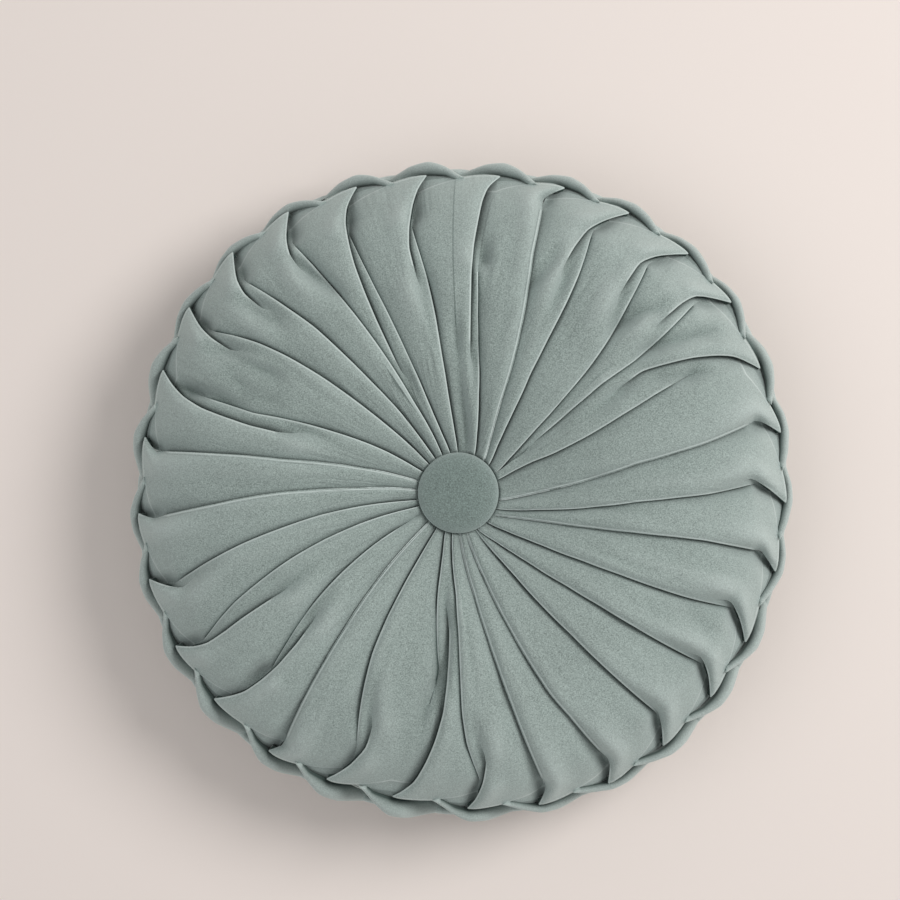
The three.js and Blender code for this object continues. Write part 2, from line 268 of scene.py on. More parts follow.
# Tables with a row for each fold in the order of the clock, a lip and then its run, and a column for
# each of RADII.
LINES = [pleat_lines(pleat) for pleat in PLEATS]
BEARINGS = np.array([line for lines in LINES for line in lines[:2]])
BEARINGS[:, RADII < HELD_RADIUS] = BEARINGS[:, RADII == HELD_RADIUS]
STRENGTHS = np.array([line for lines in LINES for line in lines[2:4]])
TRACES = np.array([line for lines in LINES for line in lines[4:]])


def read(table, fold, radius):
    """A fold's value at a radius, straight between the samples of RADII."""
    place = np.clip(radius * RADII_PER_MM, 0.0, RADII.size - 1.001)
    low = place.astype(int)
    share = place - low
    row = fold % FOLDS
    return table[row, low] * (1.0 - share) + table[row, low + 1] * share


def bearing_of(fold, radius):
    """Bearing of a fold at a radius, which goes on growing round the clock."""
    return read(BEARINGS, fold, radius) + 360.0 * (fold // FOLDS)


# Outside this radius pleats have all the room they need, and near the button they have at least this
# share of it.
OPEN_RADIUS = 85.0
CROWDED = 0.26

# A run this far from its own lip has all the room it needs, and a closer one has at least this share of
# it.
OPEN_GAP = 5.0
SQUEEZED = 0.2


def packing(radius):
    """How much room the pleats have: 1 in the open and less as they crowd to the button."""
    return np.clip(radius / OPEN_RADIUS, CROWDED, 1.0)


def room_of(fold, radius):
    """1 for a lip, and for a run its distance from its lip over an open gap, as far as that lip is strong."""
    gap = (bearing_of(fold, radius) - bearing_of(fold - 1, radius)) * np.radians(radius)
    tight = 1.0 - read(STRENGTHS, fold - 1, radius) * (1.0 - np.clip(gap / OPEN_GAP, SQUEEZED, 1.0))
    return np.where(fold % 2 == 1, tight, 1.0)


def crown_height(radius):
    """Height of the filled face without its pleats.

    A dome that falls to the shoulder, less a dimple that the button pulls, which fades with the
    distance from it.
    """
    inside = np.clip(1.0 - (radius / SWELL_RADIUS) ** SWELL_POWER, 0.0, 1.0)
    dome = SHOULDER + (SWELL - SHOULDER) * inside**SWELL_FULLNESS
    return dome - PULL_DEPTH * np.exp(-((np.maximum(radius - SEAT_RADIUS, 0.0) / PULL_REACH) ** PULL_POWER))


CROWN_ROUNDING = 10
CROWN = rounded(crown_height(RADII), CROWN_ROUNDING)


def rim_shape(bearing):
    """Radius of the rim at a bearing over its mean radius: 1 plus the rim's waves."""
    waves = sum(wave.height * np.cos(wave.count * np.radians(bearing - wave.bearing)) for wave in RIM_WAVES)
    return 1.0 + waves / RIM_RADIUS


# How deep the pleats are at radii from under the button's edge to the outer face.
RELIEF_RADII = (22.8, 24.2, 33.0, 45.0, 67.0, 115.0)
RELIEF = (0.0, 0.6, 0.88, 0.97, 1.03, 1.25)

# A lip's dip over a run's, in depth and in reach, and how much of a dip's reach is lost where pleats
# crowd.
LIP_DIP_DEPTH = 1.25
LIP_DIP_REACH = 1.6
DIP_CROWDING = 0.75

# The ridge and the valley of a trace, as bells across it, and how much of a pleat's rise counts for the
# painted highlight and shade.
Bell = namedtuple("Bell", "middle half_width")
TRACE_RIDGE = Bell(-7.0, 6.0)
TRACE_VALLEY = Bell(2.0, 4.5)
PLEAT_TONE = 0.5


def relief_of(radius):
    """How deep the pleats are: nothing under the button, over half at its edge, and more towards the rim."""
    return np.interp(radius, RELIEF_RADII, RELIEF)


def cloth_height(settings, fold, bearing, radius):
    """Height of the cloth between the fold before it and this fold, and its rise for the painted light and
    shade.

    The crown, less a dip that fades away from the fold before, plus a rise to a crest just short of the
    fold ahead, which rounds down again to its edge. Where one of these folds is weak, the next one
    takes its share. Traces, soft folds and slack are added. The rise for the painted highlight and shade
    is the height above the crown before the relief is applied, and a pleat's part of it counts less.
    """
    size = np.radians(radius)
    crowd = packing(radius)

    def dip(behind):
        gone = (bearing - bearing_of(behind, radius)) * size + undercut(settings, behind, radius)
        of_lip = behind % 2 == 0
        room = 1.0 - DIP_CROWDING + DIP_CROWDING * crowd
        reach = settings.dip_reach / MM * room * np.where(of_lip, LIP_DIP_REACH, 1.0)
        return np.where(of_lip, LIP_DIP_DEPTH, 1.0) * np.exp(-np.maximum(gone, 0.0) / reach)

    def rise(ahead):
        to_come = np.maximum((bearing_of(ahead, radius) - bearing) * size, 0.0) / crowd
        climb = np.exp(-to_come * MM / settings.rise_reach)
        crest = climb - settings.rounding * np.exp(-to_come * MM / settings.edge_reach)
        return room_of(ahead, radius) * crest

    def strength(which):
        return read(STRENGTHS, which, radius)

    def trace(which):
        past = (bearing - bearing_of(which, radius)) * size / crowd
        ridge = settings.trace_rise / MM * bell(past, *TRACE_RIDGE)
        valley = settings.trace_dip / MM * bell(past, *TRACE_VALLEY)
        share = np.maximum(read(TRACES, which, radius) - strength(which), 0.0)
        return share * (ridge - valley)

    behind = strength(fold - 1) * dip(fold - 1)
    behind = behind + (1.0 - strength(fold - 1)) * strength(fold - 2) * dip(fold - 2)
    ahead = strength(fold) * rise(fold)
    ahead = ahead + (1.0 - strength(fold)) * strength(fold + 1) * rise(fold + 1)
    pleats = settings.rise_height / MM * ahead - settings.dip_depth / MM * behind
    loose = trace(fold - 2) + trace(fold - 1) + trace(fold) + trace(fold + 1)
    loose = loose + soft_folds(bearing, radius) + settings.slack / MM * slack(bearing, radius)
    seat_rise = np.interp(SEAT_RADIUS, RADII, CROWN) - SEAT_HEIGHT
    seat = SEAT_HEIGHT + seat_rise * smoothstep((radius - SEAT_FLAT) / SEAT_EDGE)
    base = np.where(radius < SEAT_RADIUS, seat, np.interp(radius / rim_shape(bearing), RADII, CROWN))
    return base + relief_of(radius) * (pleats + loose), PLEAT_TONE * pleats + loose


# Soft folds in the panels: bearings at radii along the fold, its depth (a ridge is negative) and its
# half width. Each fades past its two ends.
SoftFold = namedtuple("SoftFold", "radii bearings depth half_width")
SOFT_FOLDS = (
    SoftFold((135, 148, 162), (291.8, 292.2, 290.8), 5.5, 3.6),
    SoftFold((117, 130, 144), (296.3, 295.0, 298.0), 3.2, 4.0),
    SoftFold((123, 137, 158), (302.7, 301.3, 300.5), 5.0, 4.0),
    SoftFold((138, 150, 158), (313.0, 311.5, 311.8), 4.0, 4.0),
    SoftFold((131, 141, 152), (328.6, 327.2, 325.8), 4.0, 4.5),
    SoftFold((118, 131), (5.6, 4.3), -2.4, 3.0),
    SoftFold((121, 133, 141), (19, 21, 22), 4.2, 4.0),
    SoftFold((134, 146), (24.4, 24.9), -2.4, 3.0),
    SoftFold((128, 141, 152), (43.8, 45, 47), 6.0, 4.0),
    SoftFold((136, 150, 168), (50.3, 51.3, 52.0), -2.6, 5.0),
    SoftFold((133, 144, 158, 168), (53.2, 54.4, 56, 57.5), 5.5, 4.2),
    SoftFold((128, 145), (60.5, 62.3), 4.0, 3.5),
    SoftFold((74, 84), (83.6, 83.0), 1.8, 2.5),
    SoftFold((145, 160), (117.5, 118.5), 3.0, 5.0),
    SoftFold((28, 34, 50, 61, 72, 84, 94), (10, 8, 3.2, 1.5, 0.7, 0, -0.5), 4.5, 2.8),
    SoftFold((73, 92, 112), (184.6, 184.9, 185.9), 4.0, 3.2),
)


SOFT_FADE = Fade(14.0, 20.0)


def soft_folds(bearing, radius):
    """Sum of the soft folds, as a height: each is a bell across its line, which fades past its two ends."""
    total = np.zeros_like(radius)
    for fold in SOFT_FOLDS:
        line = np.interp(radius, fold.radii, fold.bearings)
        across = ((bearing - line + 180.0) % 360.0 - 180.0) * np.radians(radius)
        inner = smoothstep((radius - fold.radii[0] + SOFT_FADE.past) / SOFT_FADE.length)
        outer = smoothstep((fold.radii[-1] + SOFT_FADE.past - radius) / SOFT_FADE.length)
        total = total - fold.depth * (inner * outer) * bell(across, 0.0, fold.half_width)
    return total


# Slack waves to the turn, the shares of the wide and the narrow ones, the radii between which there is
# slack, and the lengths over which it comes and goes there.
WIDE_WAVES = 47.0
NARROW_WAVES = 83.0
WIDE_SHARE = 0.6
NARROW_SHARE = 0.4
SLACK_INNER = 45.0
SLACK_COMES = 50.0
SLACK_OUTER = 184.0
SLACK_GOES = 18.0


def slack(bearing, radius):
    """Slackness of the cloth from -1 to 1: waves that run with the pleats, each bent by slower ones.

    The lengths and shifts of the slower waves are free choices that only make the bends and patches
    uneven.
    """
    turn = np.radians(bearing)
    bend = 1.3 * np.sin(radius / 23.0 + 2.0 * np.sin(turn * 3.0)) + 0.7 * np.cos(radius / 41.0 + 5.0 * turn)
    wide = np.sin(turn * WIDE_WAVES + bend)
    narrow = np.sin(turn * NARROW_WAVES - 1.4 * bend + 0.9 * np.sin(radius / 17.0 - 4.0 * turn))
    patchy = 0.5 + 0.5 * np.sin(radius / 31.0 + 7.0 * turn) * np.cos(11.0 * turn + 1.0)
    waves = (WIDE_SHARE * wide + NARROW_SHARE * narrow) * patchy
    waves = waves * smoothstep((radius - SLACK_INNER) / SLACK_COMES)
    return waves * smoothstep((SLACK_OUTER - radius) / SLACK_GOES)


def fitted(size, fold, radius):
    """A size in metres at a fold, in millimetres: less where the fold is weak or has little room."""
    return size / MM * read(STRENGTHS, fold, radius) * packing(radius) * room_of(fold, radius)


def undercut(settings, fold, radius):
    """How far the next cloth starts under a fold, in millimetres."""
    return fitted(settings.undercut, fold, radius)


def roll_radius(settings, fold, radius):
    """Radius of a fold's rolled edge, in millimetres."""
    return fitted(settings.roll_radius, fold, radius)


def in_space(bearing, radius, height, lean):
    """Points in metres from bearings in degrees, radii and heights in millimetres, and a shift to the right.

    The bearings and radii are those seen about the button by an eye that leans to the right, so the
    shift puts each point where its height has it.
    """
    turn = np.radians(bearing)
    x = radius * np.sin(turn) + lean
    y = radius * np.cos(turn)
    return np.stack([x, y, height + np.zeros_like(x)], axis=-1) * MM


# Surfaces of the pieces


def column_layout():
    """For each column of one whole turn: the fold ahead of it, its share of the segment, its angle on a roll.

    A roll's columns go over the fold from the top at 0 degrees to the bottom at 180. Elsewhere the
    angle is -1.
    """
    folds, shares, angles = [], [], []
    for fold in range(FOLDS):
        count = PANEL_COLUMNS if fold % 2 == 0 else GORE_COLUMNS
        share = np.arange(count) / count
        folds += [fold] * (count + ROLL_COLUMNS)
        shares += list(share - COLUMN_CROWDING * np.sin(2.0 * np.pi * share)) + [1.0] * ROLL_COLUMNS
        angles += [-1.0] * count + list(np.linspace(0.0, 180.0, ROLL_COLUMNS))
    return np.array(folds), np.array(shares), np.array(angles)


# Where a fold is weak, the columns of its roll lie flat over this half width, with a gap before them,
# and the next cloth starts this far past the fold's line.
FLAT_ROLL = 0.7
ROLL_GAP = 0.2
WEAK_START = 0.9

# The angle on a roll, in radians, where its painted highlight is strongest, and the angle in degrees past
# which it gets the painted shade of a crevice.
LIGHT_ANGLE = 0.9
UNDERSIDE = 100.0

# Marks for the material: a distance at which no painted highlight or painted shade is left, and the limits
# of distances.
OUT_OF_REACH = 9.0
NEAREST = -5.0
FARTHEST = 30.0


def cloth_points(settings, folds, shares, angles, radius):
    """Bearing and height of the cloth for columns at their own radii, and the marks that the material reads.

    Between folds the columns share the way from under the fold before to the roll ahead. On a roll they
    go round a half circle. Where a fold is weak, its roll's columns lie side by side on the cloth. The
    marks are the distances to the painted highlight on a fold's edge and out of the painted shade of the
    crevice beside it, and the rise that sets the painted highlight and shade, with painted shade about
    the button, in millimetres.
    """
    size = np.radians(radius)
    strength = read(STRENGTHS, folds, radius)
    before = read(STRENGTHS, folds - 1, radius)
    roll = roll_radius(settings, folds, radius)
    flat = FLAT_ROLL * (1.0 - strength)
    under = undercut(settings, folds - 1, radius) - WEAK_START * (1.0 - before)
    start = bearing_of(folds - 1, radius) - under / size
    end = bearing_of(folds, radius) - (roll + flat + ROLL_GAP) / size
    between = start + (end - start) * shares
    turn = np.radians(np.maximum(angles, 0.0))
    across = -roll + roll * np.sin(turn) + (angles / 90.0 - 1.0) * flat
    on_roll = angles >= 0.0
    bearing = np.where(on_roll, bearing_of(folds, radius) + across / size, between)
    surface, risen = cloth_height(settings, folds, bearing, radius)
    top = cloth_height(settings, folds, bearing_of(folds, radius) - roll / size, radius)[0]
    rolled = top - relief_of(radius) ** 0.5 * roll * (1.0 - np.cos(turn))
    height = np.where(on_roll, surface * (1.0 - strength) + rolled * strength, surface)
    to_fold = (bearing_of(folds, radius) - bearing) * size
    edge = np.where(on_roll, np.abs(turn - LIGHT_ANGLE) * roll, to_fold + LIGHT_ANGLE * roll)
    edge = edge + OUT_OF_REACH * (1.0 - strength)
    depth = (bearing - bearing_of(folds - 1, radius)) * size + OUT_OF_REACH * (1.0 - before)
    depth = np.where(angles > UNDERSIDE, OUT_OF_REACH * (1.0 - strength), depth)
    hub = HUB_SHADE * np.exp(-radius / HUB_REACH)
    marks = np.stack([np.clip(edge, 0.0, FARTHEST), np.clip(depth, NEAREST, FARTHEST), risen - hub], axis=-1)
    return bearing, height, marks


def rim_share(folds, shares, angles):
    """Share of the way from the last tip to the next one along the rim, for each column."""
    panel = np.where(folds % 2 == 0, shares, 0.0)
    return np.where((folds % 2 == 0) & (angles >= 0.0), 1.0, panel)


def edge_radius(before, ahead, share):
    """Radius of a panel's outer edge: it curves from a step inside the tip before to the tip ahead."""
    curve = (1.0 + EDGE_BULGE) * share - EDGE_BULGE * share**2
    return before - CREASE_STEP + (ahead - before + CREASE_STEP) * curve


# Rows of the rim past a panel's edge: how far out and up each lies from the edge under a tip, and its
# share of the width of the patch of cloth that shows between a tip and the panel ahead.
RimRow = namedtuple("RimRow", "tip_out tip_up patch_share")
RIM_ROWS = (
    RimRow(0.5, -0.5, 0.05),
    RimRow(0.8, -1.5, 0.35),
    RimRow(0.2, -2.8, 0.7),
    RimRow(-1.6, -3.9, 0.92),
    RimRow(-3.5, -5.0, 1.2),
)

# The patch of cloth: the step down to it, its slope, how steeply it goes in behind the plait, the width
# that is added to it, and how it fades into the tip ahead, in shares of the pitch.
PATCH_STEP = 1.1
PATCH_SLOPE = 0.1
PATCH_TUCK = 12.0
PATCH_EXTRA = 1.0
PATCH_FADE = Fade(0.1, 0.16)

# The bend of the wall on its way to the middle plane: its share of the last row's height, which counts
# as at least so much.
WALL_BEND = 0.6
WALL_LEAST = 5.0

# Marks on the rim, as distances. To the painted highlight line: the least one along a panel's edge, and
# how much less it is on the patch. Out of the painted crevice shade: the greatest on the patch, which
# falls to 0 under a tip, and those of the wall's last two rows.
EDGE_DIM = 0.55
PATCH_DIM = 0.25
TIP_SHADE = 0.9
WALL_SHADES = ((1.6,), (3.5,))


def face_points(settings, inner_radii, outer_rows, trim):
    """One face of the cover, from the button to the middle plane: rows of bearing, radius, height and marks.

    Rows of even radius go out to the last inner one. Then they spread to the toothed edge, which runs
    from a step inside one tip to the reach of the next. There a tip's edge rolls under, and the cloth
    before it slopes on down to the middle plane. The tips may be trimmed.
    """
    folds, shares, angles = column_layout()
    share = rim_share(folds, shares, angles)
    pleats = folds // 2
    reach = np.array([pleat.reach for pleat in PLEATS]) - trim
    before = reach[(pleats - np.where((folds % 2 == 1) | (angles >= 0.0), 0, 1)) % len(PLEATS)]
    ahead = reach[pleats % len(PLEATS)]
    edge = edge_radius(before, ahead, share)
    last = inner_radii[-1]
    even = [np.full(folds.size, float(radius)) for radius in inner_radii]
    spread = [last + (edge - last) * step for step in np.linspace(0.0, 1.0, outer_rows + 1)[1:]]
    radius = np.array(even + spread)
    grid = (np.broadcast_to(part, radius.shape) for part in (folds, shares, angles))
    bearing, height, marks = cloth_points(settings, *grid, radius)
    patch = 1.0 - smoothstep((share - CREASE_END + PATCH_FADE.past) / PATCH_FADE.length)
    # A painted highlight line along the panel's outer edge, dimmer on the patch.
    marks[..., 0] = np.minimum(marks[..., 0], np.abs(edge - radius) + EDGE_DIM - PATCH_DIM * patch)
    line = before + (edge_radius(before, ahead, CREASE_END) - before) * share / CREASE_END
    width = np.maximum(line - edge, 0.0) + PATCH_EXTRA
    edge_height = height[-1]
    rim_radius, rim_height = [], []
    for row in RIM_ROWS:
        patch_out = width * row.patch_share
        fall = np.interp(edge + patch_out, RADII, CROWN) - np.interp(edge, RADII, CROWN)
        fall = fall - PATCH_STEP - PATCH_SLOPE * patch_out - PATCH_TUCK * max(row.patch_share - 1.0, 0.0)
        rim_radius.append(edge + row.tip_out + (patch_out - row.tip_out) * patch)
        rim_height.append(edge_height + row.tip_up + (fall - row.tip_up) * patch)
    wall = (WALL_RADIUS + WALL_WAVE * np.cos(2.0 * np.pi * share)) * rim_shape(bearing[-1])
    wall = np.minimum(wall, edge + WALL_STEP + width * patch)
    rim_radius += [wall, wall]
    rim_height += [WALL_BEND * np.maximum(rim_height[-1], WALL_LEAST), np.zeros_like(wall)]
    rows = len(rim_radius)
    radius = np.vstack([radius, rim_radius])
    height = np.vstack([height, rim_height])
    bearing = np.vstack([bearing, np.repeat(bearing[-1:], rows, axis=0)])
    outer_marks = np.repeat(marks[-1:], rows, axis=0)
    # Past the edge there is no painted highlight, and painted crevice shade falls on the patch, under the
    # tips and on the wall.
    outer_marks[1:, :, 0] = OUT_OF_REACH
    outer_marks[2:, :, 1] = np.minimum(outer_marks[0, :, 1], TIP_SHADE) * patch
    outer_marks[4:, :, 1] = 0.0
    outer_marks[-2:, :, 1] = WALL_SHADES
    return bearing, radius, height, np.concatenate([marks, outer_marks])


def grid_faces(rows, columns):
    """Quads between neighbouring rows and columns of a grid whose columns close into a ring."""
    index = np.arange(rows * columns).reshape(rows, columns)
    right = np.roll(index, -1, axis=1)
    return np.stack([index[:-1], index[1:], right[1:], right[:-1]], axis=-1).reshape(-1, 4)


def fan_faces(ring, centre):
    """Triangles from one ring of points to its centre point."""
    return np.stack([ring, np.roll(ring, -1), np.full_like(ring, centre)], axis=-1)


def make_mesh(name, points, quads, triangles=None, marks=None, uv=None):
    """A smooth mesh object from arrays of points in metres, quads and triangles."""
    mesh = bpy.data.meshes.new(name)
    triangles = np.zeros((0, 3), int) if triangles is None else triangles
    corners = np.concatenate([quads.ravel(), triangles.ravel()])
    totals = np.concatenate([np.full(len(quads), 4), np.full(len(triangles), 3)])
    mesh.vertices.add(len(points))
    mesh.vertices.foreach_set("co", points.astype(np.float32).ravel())
    mesh.loops.add(corners.size)
    mesh.loops.foreach_set("vertex_index", corners.astype(np.int32))
    mesh.polygons.add(totals.size)
    mesh.polygons.foreach_set("loop_start", (np.cumsum(totals) - totals).astype(np.int32))
    mesh.polygons.foreach_set("use_smooth", np.ones(totals.size, bool))
    mesh.update(calc_edges=True)
    mesh.validate()
    if marks is not None:
        attribute = mesh.attributes.new("fold_marks", "FLOAT_VECTOR", "POINT")
        attribute.data.foreach_set("vector", marks.astype(np.float32).ravel())
    if uv is not None:
        layer = mesh.uv_layers.new(name="cloth")
        layer.data.foreach_set("uv", uv[corners].astype(np.float32).ravel())
    thing = bpy.data.objects.new(name, mesh)
    bpy.context.scene.collection.objects.link(thing)
    return thing


# Radii of the cover's even rows, closer together at the button's edge, and the number of rows that
# spread from the last of them to the toothed edge.
HUB_RADII = (14.0, 20.0, 22.6, 23.2, 23.8, 24.6, 26.2, 28.5, 31.5, 35.0)
FRONT_RADII = (*HUB_RADII, *np.linspace(39.0, 165.0, 41))
BACK_RADII = (*HUB_RADII[::2], *np.linspace(38.0, 165.0, 25))
FRONT_OUTER_ROWS = 8
BACK_OUTER_ROWS = 5

# The back is pressed flat on the surface, and its height is rounded off over this length. Its outer
# part is shifted sideways as far as the front's rim. The shift starts at this radius and grows outwards
# over this length.
FLOOR_ROUNDING = 1.6
SHIFT_INNER = 90.0
SHIFT_FADE = 75.0

# Bearings are laid out on the cloth as on a circle of this radius, in metres.
CLOTH_RADIUS = 0.1


def cloth_place(bearing, radius):
    """Place on the cloth in metres, for wrinkles that run with the pleats: round the clock, and outwards."""
    return np.stack([np.radians(bearing) * CLOTH_RADIUS, radius * MM], axis=-1)


def cover_points(settings):
    """All points of the cover, their marks and their places on the cloth: the front face, then the back.

    The back is the same face turned by half a pitch and put upside down. Its height over the surface is
    eased to 0 by a soft maximum, the rounding times log(1 + exp(height / rounding)).
    """
    bearing, radius, height, marks = face_points(settings, FRONT_RADII, FRONT_OUTER_ROWS, TIP_TRIM)
    lean = settings.lean * (height - settings.lean_height / MM)
    front = in_space(bearing, radius, MIDDLE + height, lean)
    place = cloth_place(bearing, radius)
    bearing, radius, height, back_marks = face_points(settings, BACK_RADII, BACK_OUTER_ROWS, BACK_TRIM)
    shift = -settings.lean * settings.lean_height / MM * smoothstep((radius - SHIFT_INNER) / SHIFT_FADE)
    level = FLOOR_ROUNDING * np.log1p(np.exp((MIDDLE - height) / FLOOR_ROUNDING))
    back = in_space(bearing + PITCH / 2.0, radius, level, shift)
    columns = front.shape[1]
    half = columns // len(PLEATS) // 2
    back = np.roll(back, half, axis=1)[::-1]
    back_marks = np.roll(back_marks, half, axis=1)[::-1]
    back_place = np.roll(cloth_place(bearing, radius), half, axis=1)[::-1]
    surfaces = ((front, back), (marks, back_marks), (place, back_place))
    return (np.concatenate(surface) for surface in surfaces)


def make_cover(settings):
    """The cover's grid of points with both middles closed by fans."""
    points, marks, place = cover_points(settings)
    rows, columns = points.shape[:2]
    quads = grid_faces(rows, columns)
    flat = points.reshape(-1, 3)
    count = rows * columns
    seat = (MIDDLE + SEAT_HEIGHT) * MM
    low_seat = (MIDDLE - SEAT_HEIGHT) * MM
    flat = np.concatenate([flat, [(0.0, 0.0, seat), (0.0, 0.0, low_seat)]])
    first = np.arange(columns)
    last = count - columns + np.arange(columns)
    triangles = np.concatenate([fan_faces(first, count), fan_faces(last[::-1], count + 1)])
    all_marks = np.concatenate([marks.reshape(-1, 3), [(FARTHEST, FARTHEST, 0.0)] * 2])
    uv = np.concatenate([place.reshape(-1, 2), [(0.0, 0.0)] * 2])
    return make_mesh("velvet_cover", flat, quads, triangles, all_marks, uv)


# The plait's two kinds of strand. A path's stations: pitches past the strand's own tip, outer radius,
# height, and half width. An outer strand comes up from the back's edge, passes over the front's tip and
# ends on the front, and widens to fill the gap to the tip. An inner one starts behind the tip and goes
# down to the back's edge.
StrandStation = namedtuple("StrandStation", "pitches outer height half_width")
OUTER_STRAND = (
    StrandStation(-1.25, 181.5, -22.5, 0.8),
    StrandStation(-1.12, 185.4, -19.5, 2.2),
    StrandStation(-1.0, 187.6, -16.0, 2.8),
    StrandStation(-0.84, 187.4, -10.8, 2.8),
    StrandStation(-0.66, 186.4, -5.2, 2.6),
    StrandStation(-0.5, 188.4, -1.5, 2.6),
    StrandStation(-0.25, 191.8, 4.0, 2.8),
    StrandStation(0.0, 192.9, 8.4, 3.0),
    StrandStation(0.25, 191.0, 12.4, 2.8),
    StrandStation(0.40, 188.6, 15.2, 2.4),
    StrandStation(0.53, 186.0, 16.4, 1.0),
)
INNER_STRAND = (
    StrandStation(-0.3, 181.5, 5.0, 0.8),
    StrandStation(-0.14, 185.6, 4.6, 2.0),
    StrandStation(0.0, 187.6, 3.2, 2.7),
    StrandStation(0.25, 189.4, -1.5, 3.3),
    StrandStation(0.5, 189.9, -7.0, 3.4),
    StrandStation(0.75, 188.4, -12.5, 3.3),
    StrandStation(0.95, 186.0, -17.5, 2.8),
    StrandStation(1.08, 183.8, -20.5, 2.0),
    StrandStation(1.2, 180.5, -22.5, 0.8),
)
STRAND_RINGS = 42
STRAND_SIDES = 14

# Steps along a path in which its corners are rounded, the reach of that, and the least half width of a
# strand.
PATH_STEPS = 201
PATH_ROUNDING = 10
LEAST_STRAND = 0.15

# The tips' height that the outer path is made for, how many pitches before the tip a strand starts to be
# lifted to its own tip and over how many, and the share of the pitch at which a tip's height is read.
TIP_HEIGHT = 12.0
LIFT_FADE = Fade(0.6, 0.5)
TIP_SHARE = 0.97

# The gap between a strand and its panel's edge, how far out and up a strand's end lies from the next
# panel's edge, and the pitches over which an end tapers, also the share of its width that is left then.
FLANK_GAP = 0.7
END_LIFT = 0.6
END_TAPER = 0.1

# Towards the bearing of 180 degrees the outer strands are drawn in, by so many millimetres for each
# pitch past a centre. Before it they stand out instead, as far as the limit in pitches gives. The fade
# says how many pitches before the tip that starts, and over how many it grows.
LOW_TWIST = 7.0
TWIST_CENTRE = -0.25
TWIST_LIMIT = -0.35
TWIST_FADE = Fade(1.1, 0.4)

# Where a strand's section is highest, as the cosine of the angle round it.
STRAND_CREST = 0.45

# Marks of the strands: their rise for the painted highlight, how far the full painted shade reaches over
# the inner flank, how much further it does so towards 180 degrees, and from how many pitches past the
# tip, and over how many, it fades.
STRAND_RISE = 5.0
FLANK_SHADE = 0.7
LOW_SHADE = 0.6
SHADE_END = 0.4
SHADE_FADE = 0.15


def panel_edge(settings, number, tip, share):
    """Radius and height of a front panel's outer edge at a share of the pitch past the tip before it."""
    before = PLEATS[(number - 1) % len(PLEATS)].reach - TIP_TRIM
    ahead = PLEATS[number % len(PLEATS)].reach - TIP_TRIM
    radius = np.array([edge_radius(before, ahead, share)])
    bearing = np.array([tip + share * PITCH])
    fold = np.array([2 * number])
    return radius[0], cloth_height(settings, fold, bearing, radius)[0][0]


def eased(stations, column, along):
    """A column of a path's stations at places along it, with its corners rounded."""
    fine = np.linspace(stations[0, 0], stations[-1, 0], PATH_STEPS)
    line = rounded(np.interp(fine, stations[:, 0], stations[:, column]), PATH_ROUNDING)
    return np.interp(along, fine, line)


def strand_flank(number, along):
    """Radius of an outer strand's inner flank: its panel's edge to the tip, then on to the next panel's."""
    places = (number - 1, number, number + 1)
    before, own, ahead = (PLEATS[place % len(PLEATS)].reach - TIP_TRIM for place in places)
    past = edge_radius(own, ahead, CREASE_END) - own
    to_tip = edge_radius(before, own, np.clip(1.0 + along, 0.0, 1.0))
    return np.where(along < 0.0, to_tip, own + past * along / CREASE_END)


def strand_points(settings, number, path, lift, tail, fill):
    """One strand of the plait: an oval section carried along its path, whose corners are rounded.

    It is lifted to its own tip's height, and its tail is moved out and up to lie on the next panel's
    edge. Where it fills, it is as wide as the way from its flank to its outer radius. The section falls
    outwards and to its inner flank. Gives the points and the marks from which the material paints shade on
    the inner flank and a highlight over the strand.
    """
    stations = np.array(path)
    along = np.linspace(stations[0, 0], stations[-1, 0], STRAND_RINGS)
    outer, height = eased(stations, 1, along), eased(stations, 2, along)
    half_width = np.maximum(eased(stations, 3, along), LEAST_STRAND)
    bearing = PLEATS[number].tip + along * PITCH
    end = smoothstep(along / stations[-1, 0])
    low = 0.5 - 0.5 * np.cos(np.radians(bearing))
    twist = fill * LOW_TWIST * low * np.maximum(along - TWIST_CENTRE, TWIST_LIMIT)
    twist = twist * smoothstep((along + TWIST_FADE.past) / TWIST_FADE.length)
    outer = outer * rim_shape(bearing) - twist * (1.0 - end) + tail[0] * end
    lifted = lift * smoothstep((along + LIFT_FADE.past) / LIFT_FADE.length)
    height = height + lifted * (1.0 - end) + tail[1] * end
    across = np.maximum(half_width, fill * (outer - strand_flank(number, along) - FLANK_GAP) / 2.0)
    across = across * np.minimum((stations[-1, 0] - along) / END_TAPER + END_TAPER, 1.0)
    turn = np.linspace(0.0, 2.0 * np.pi, STRAND_SIDES, endpoint=False)
    out = (outer - across)[:, None] + across[:, None] * np.cos(turn)
    spread = (along - stations[0, 0]) / (stations[-1, 0] - stations[0, 0])
    tall = half_width + settings.fullness / MM * np.sin(np.pi * spread)
    height = height + half_width - tall
    past_crest = np.cos(turn) - STRAND_CREST
    slope = settings.slope * np.maximum(past_crest, 0.0) - settings.sink * np.minimum(past_crest, 0.0)
    up = height[:, None] + tall[:, None] * np.sin(turn) - across[:, None] * slope
    # Painted shade on the inner flank, which fades past the tip, and a painted highlight over the whole
    # strand.
    to_flank = settings.shade / MM * np.abs(turn - np.pi) - FLANK_SHADE - LOW_SHADE * low[:, None]
    to_flank = to_flank + OUT_OF_REACH * smoothstep((along[:, None] - SHADE_END) / SHADE_FADE)
    marks = np.stack([np.full_like(up, OUT_OF_REACH), to_flank, np.full_like(up, STRAND_RISE)], axis=-1)
    return in_space(bearing[:, None], out, MIDDLE + up, 0.0), marks


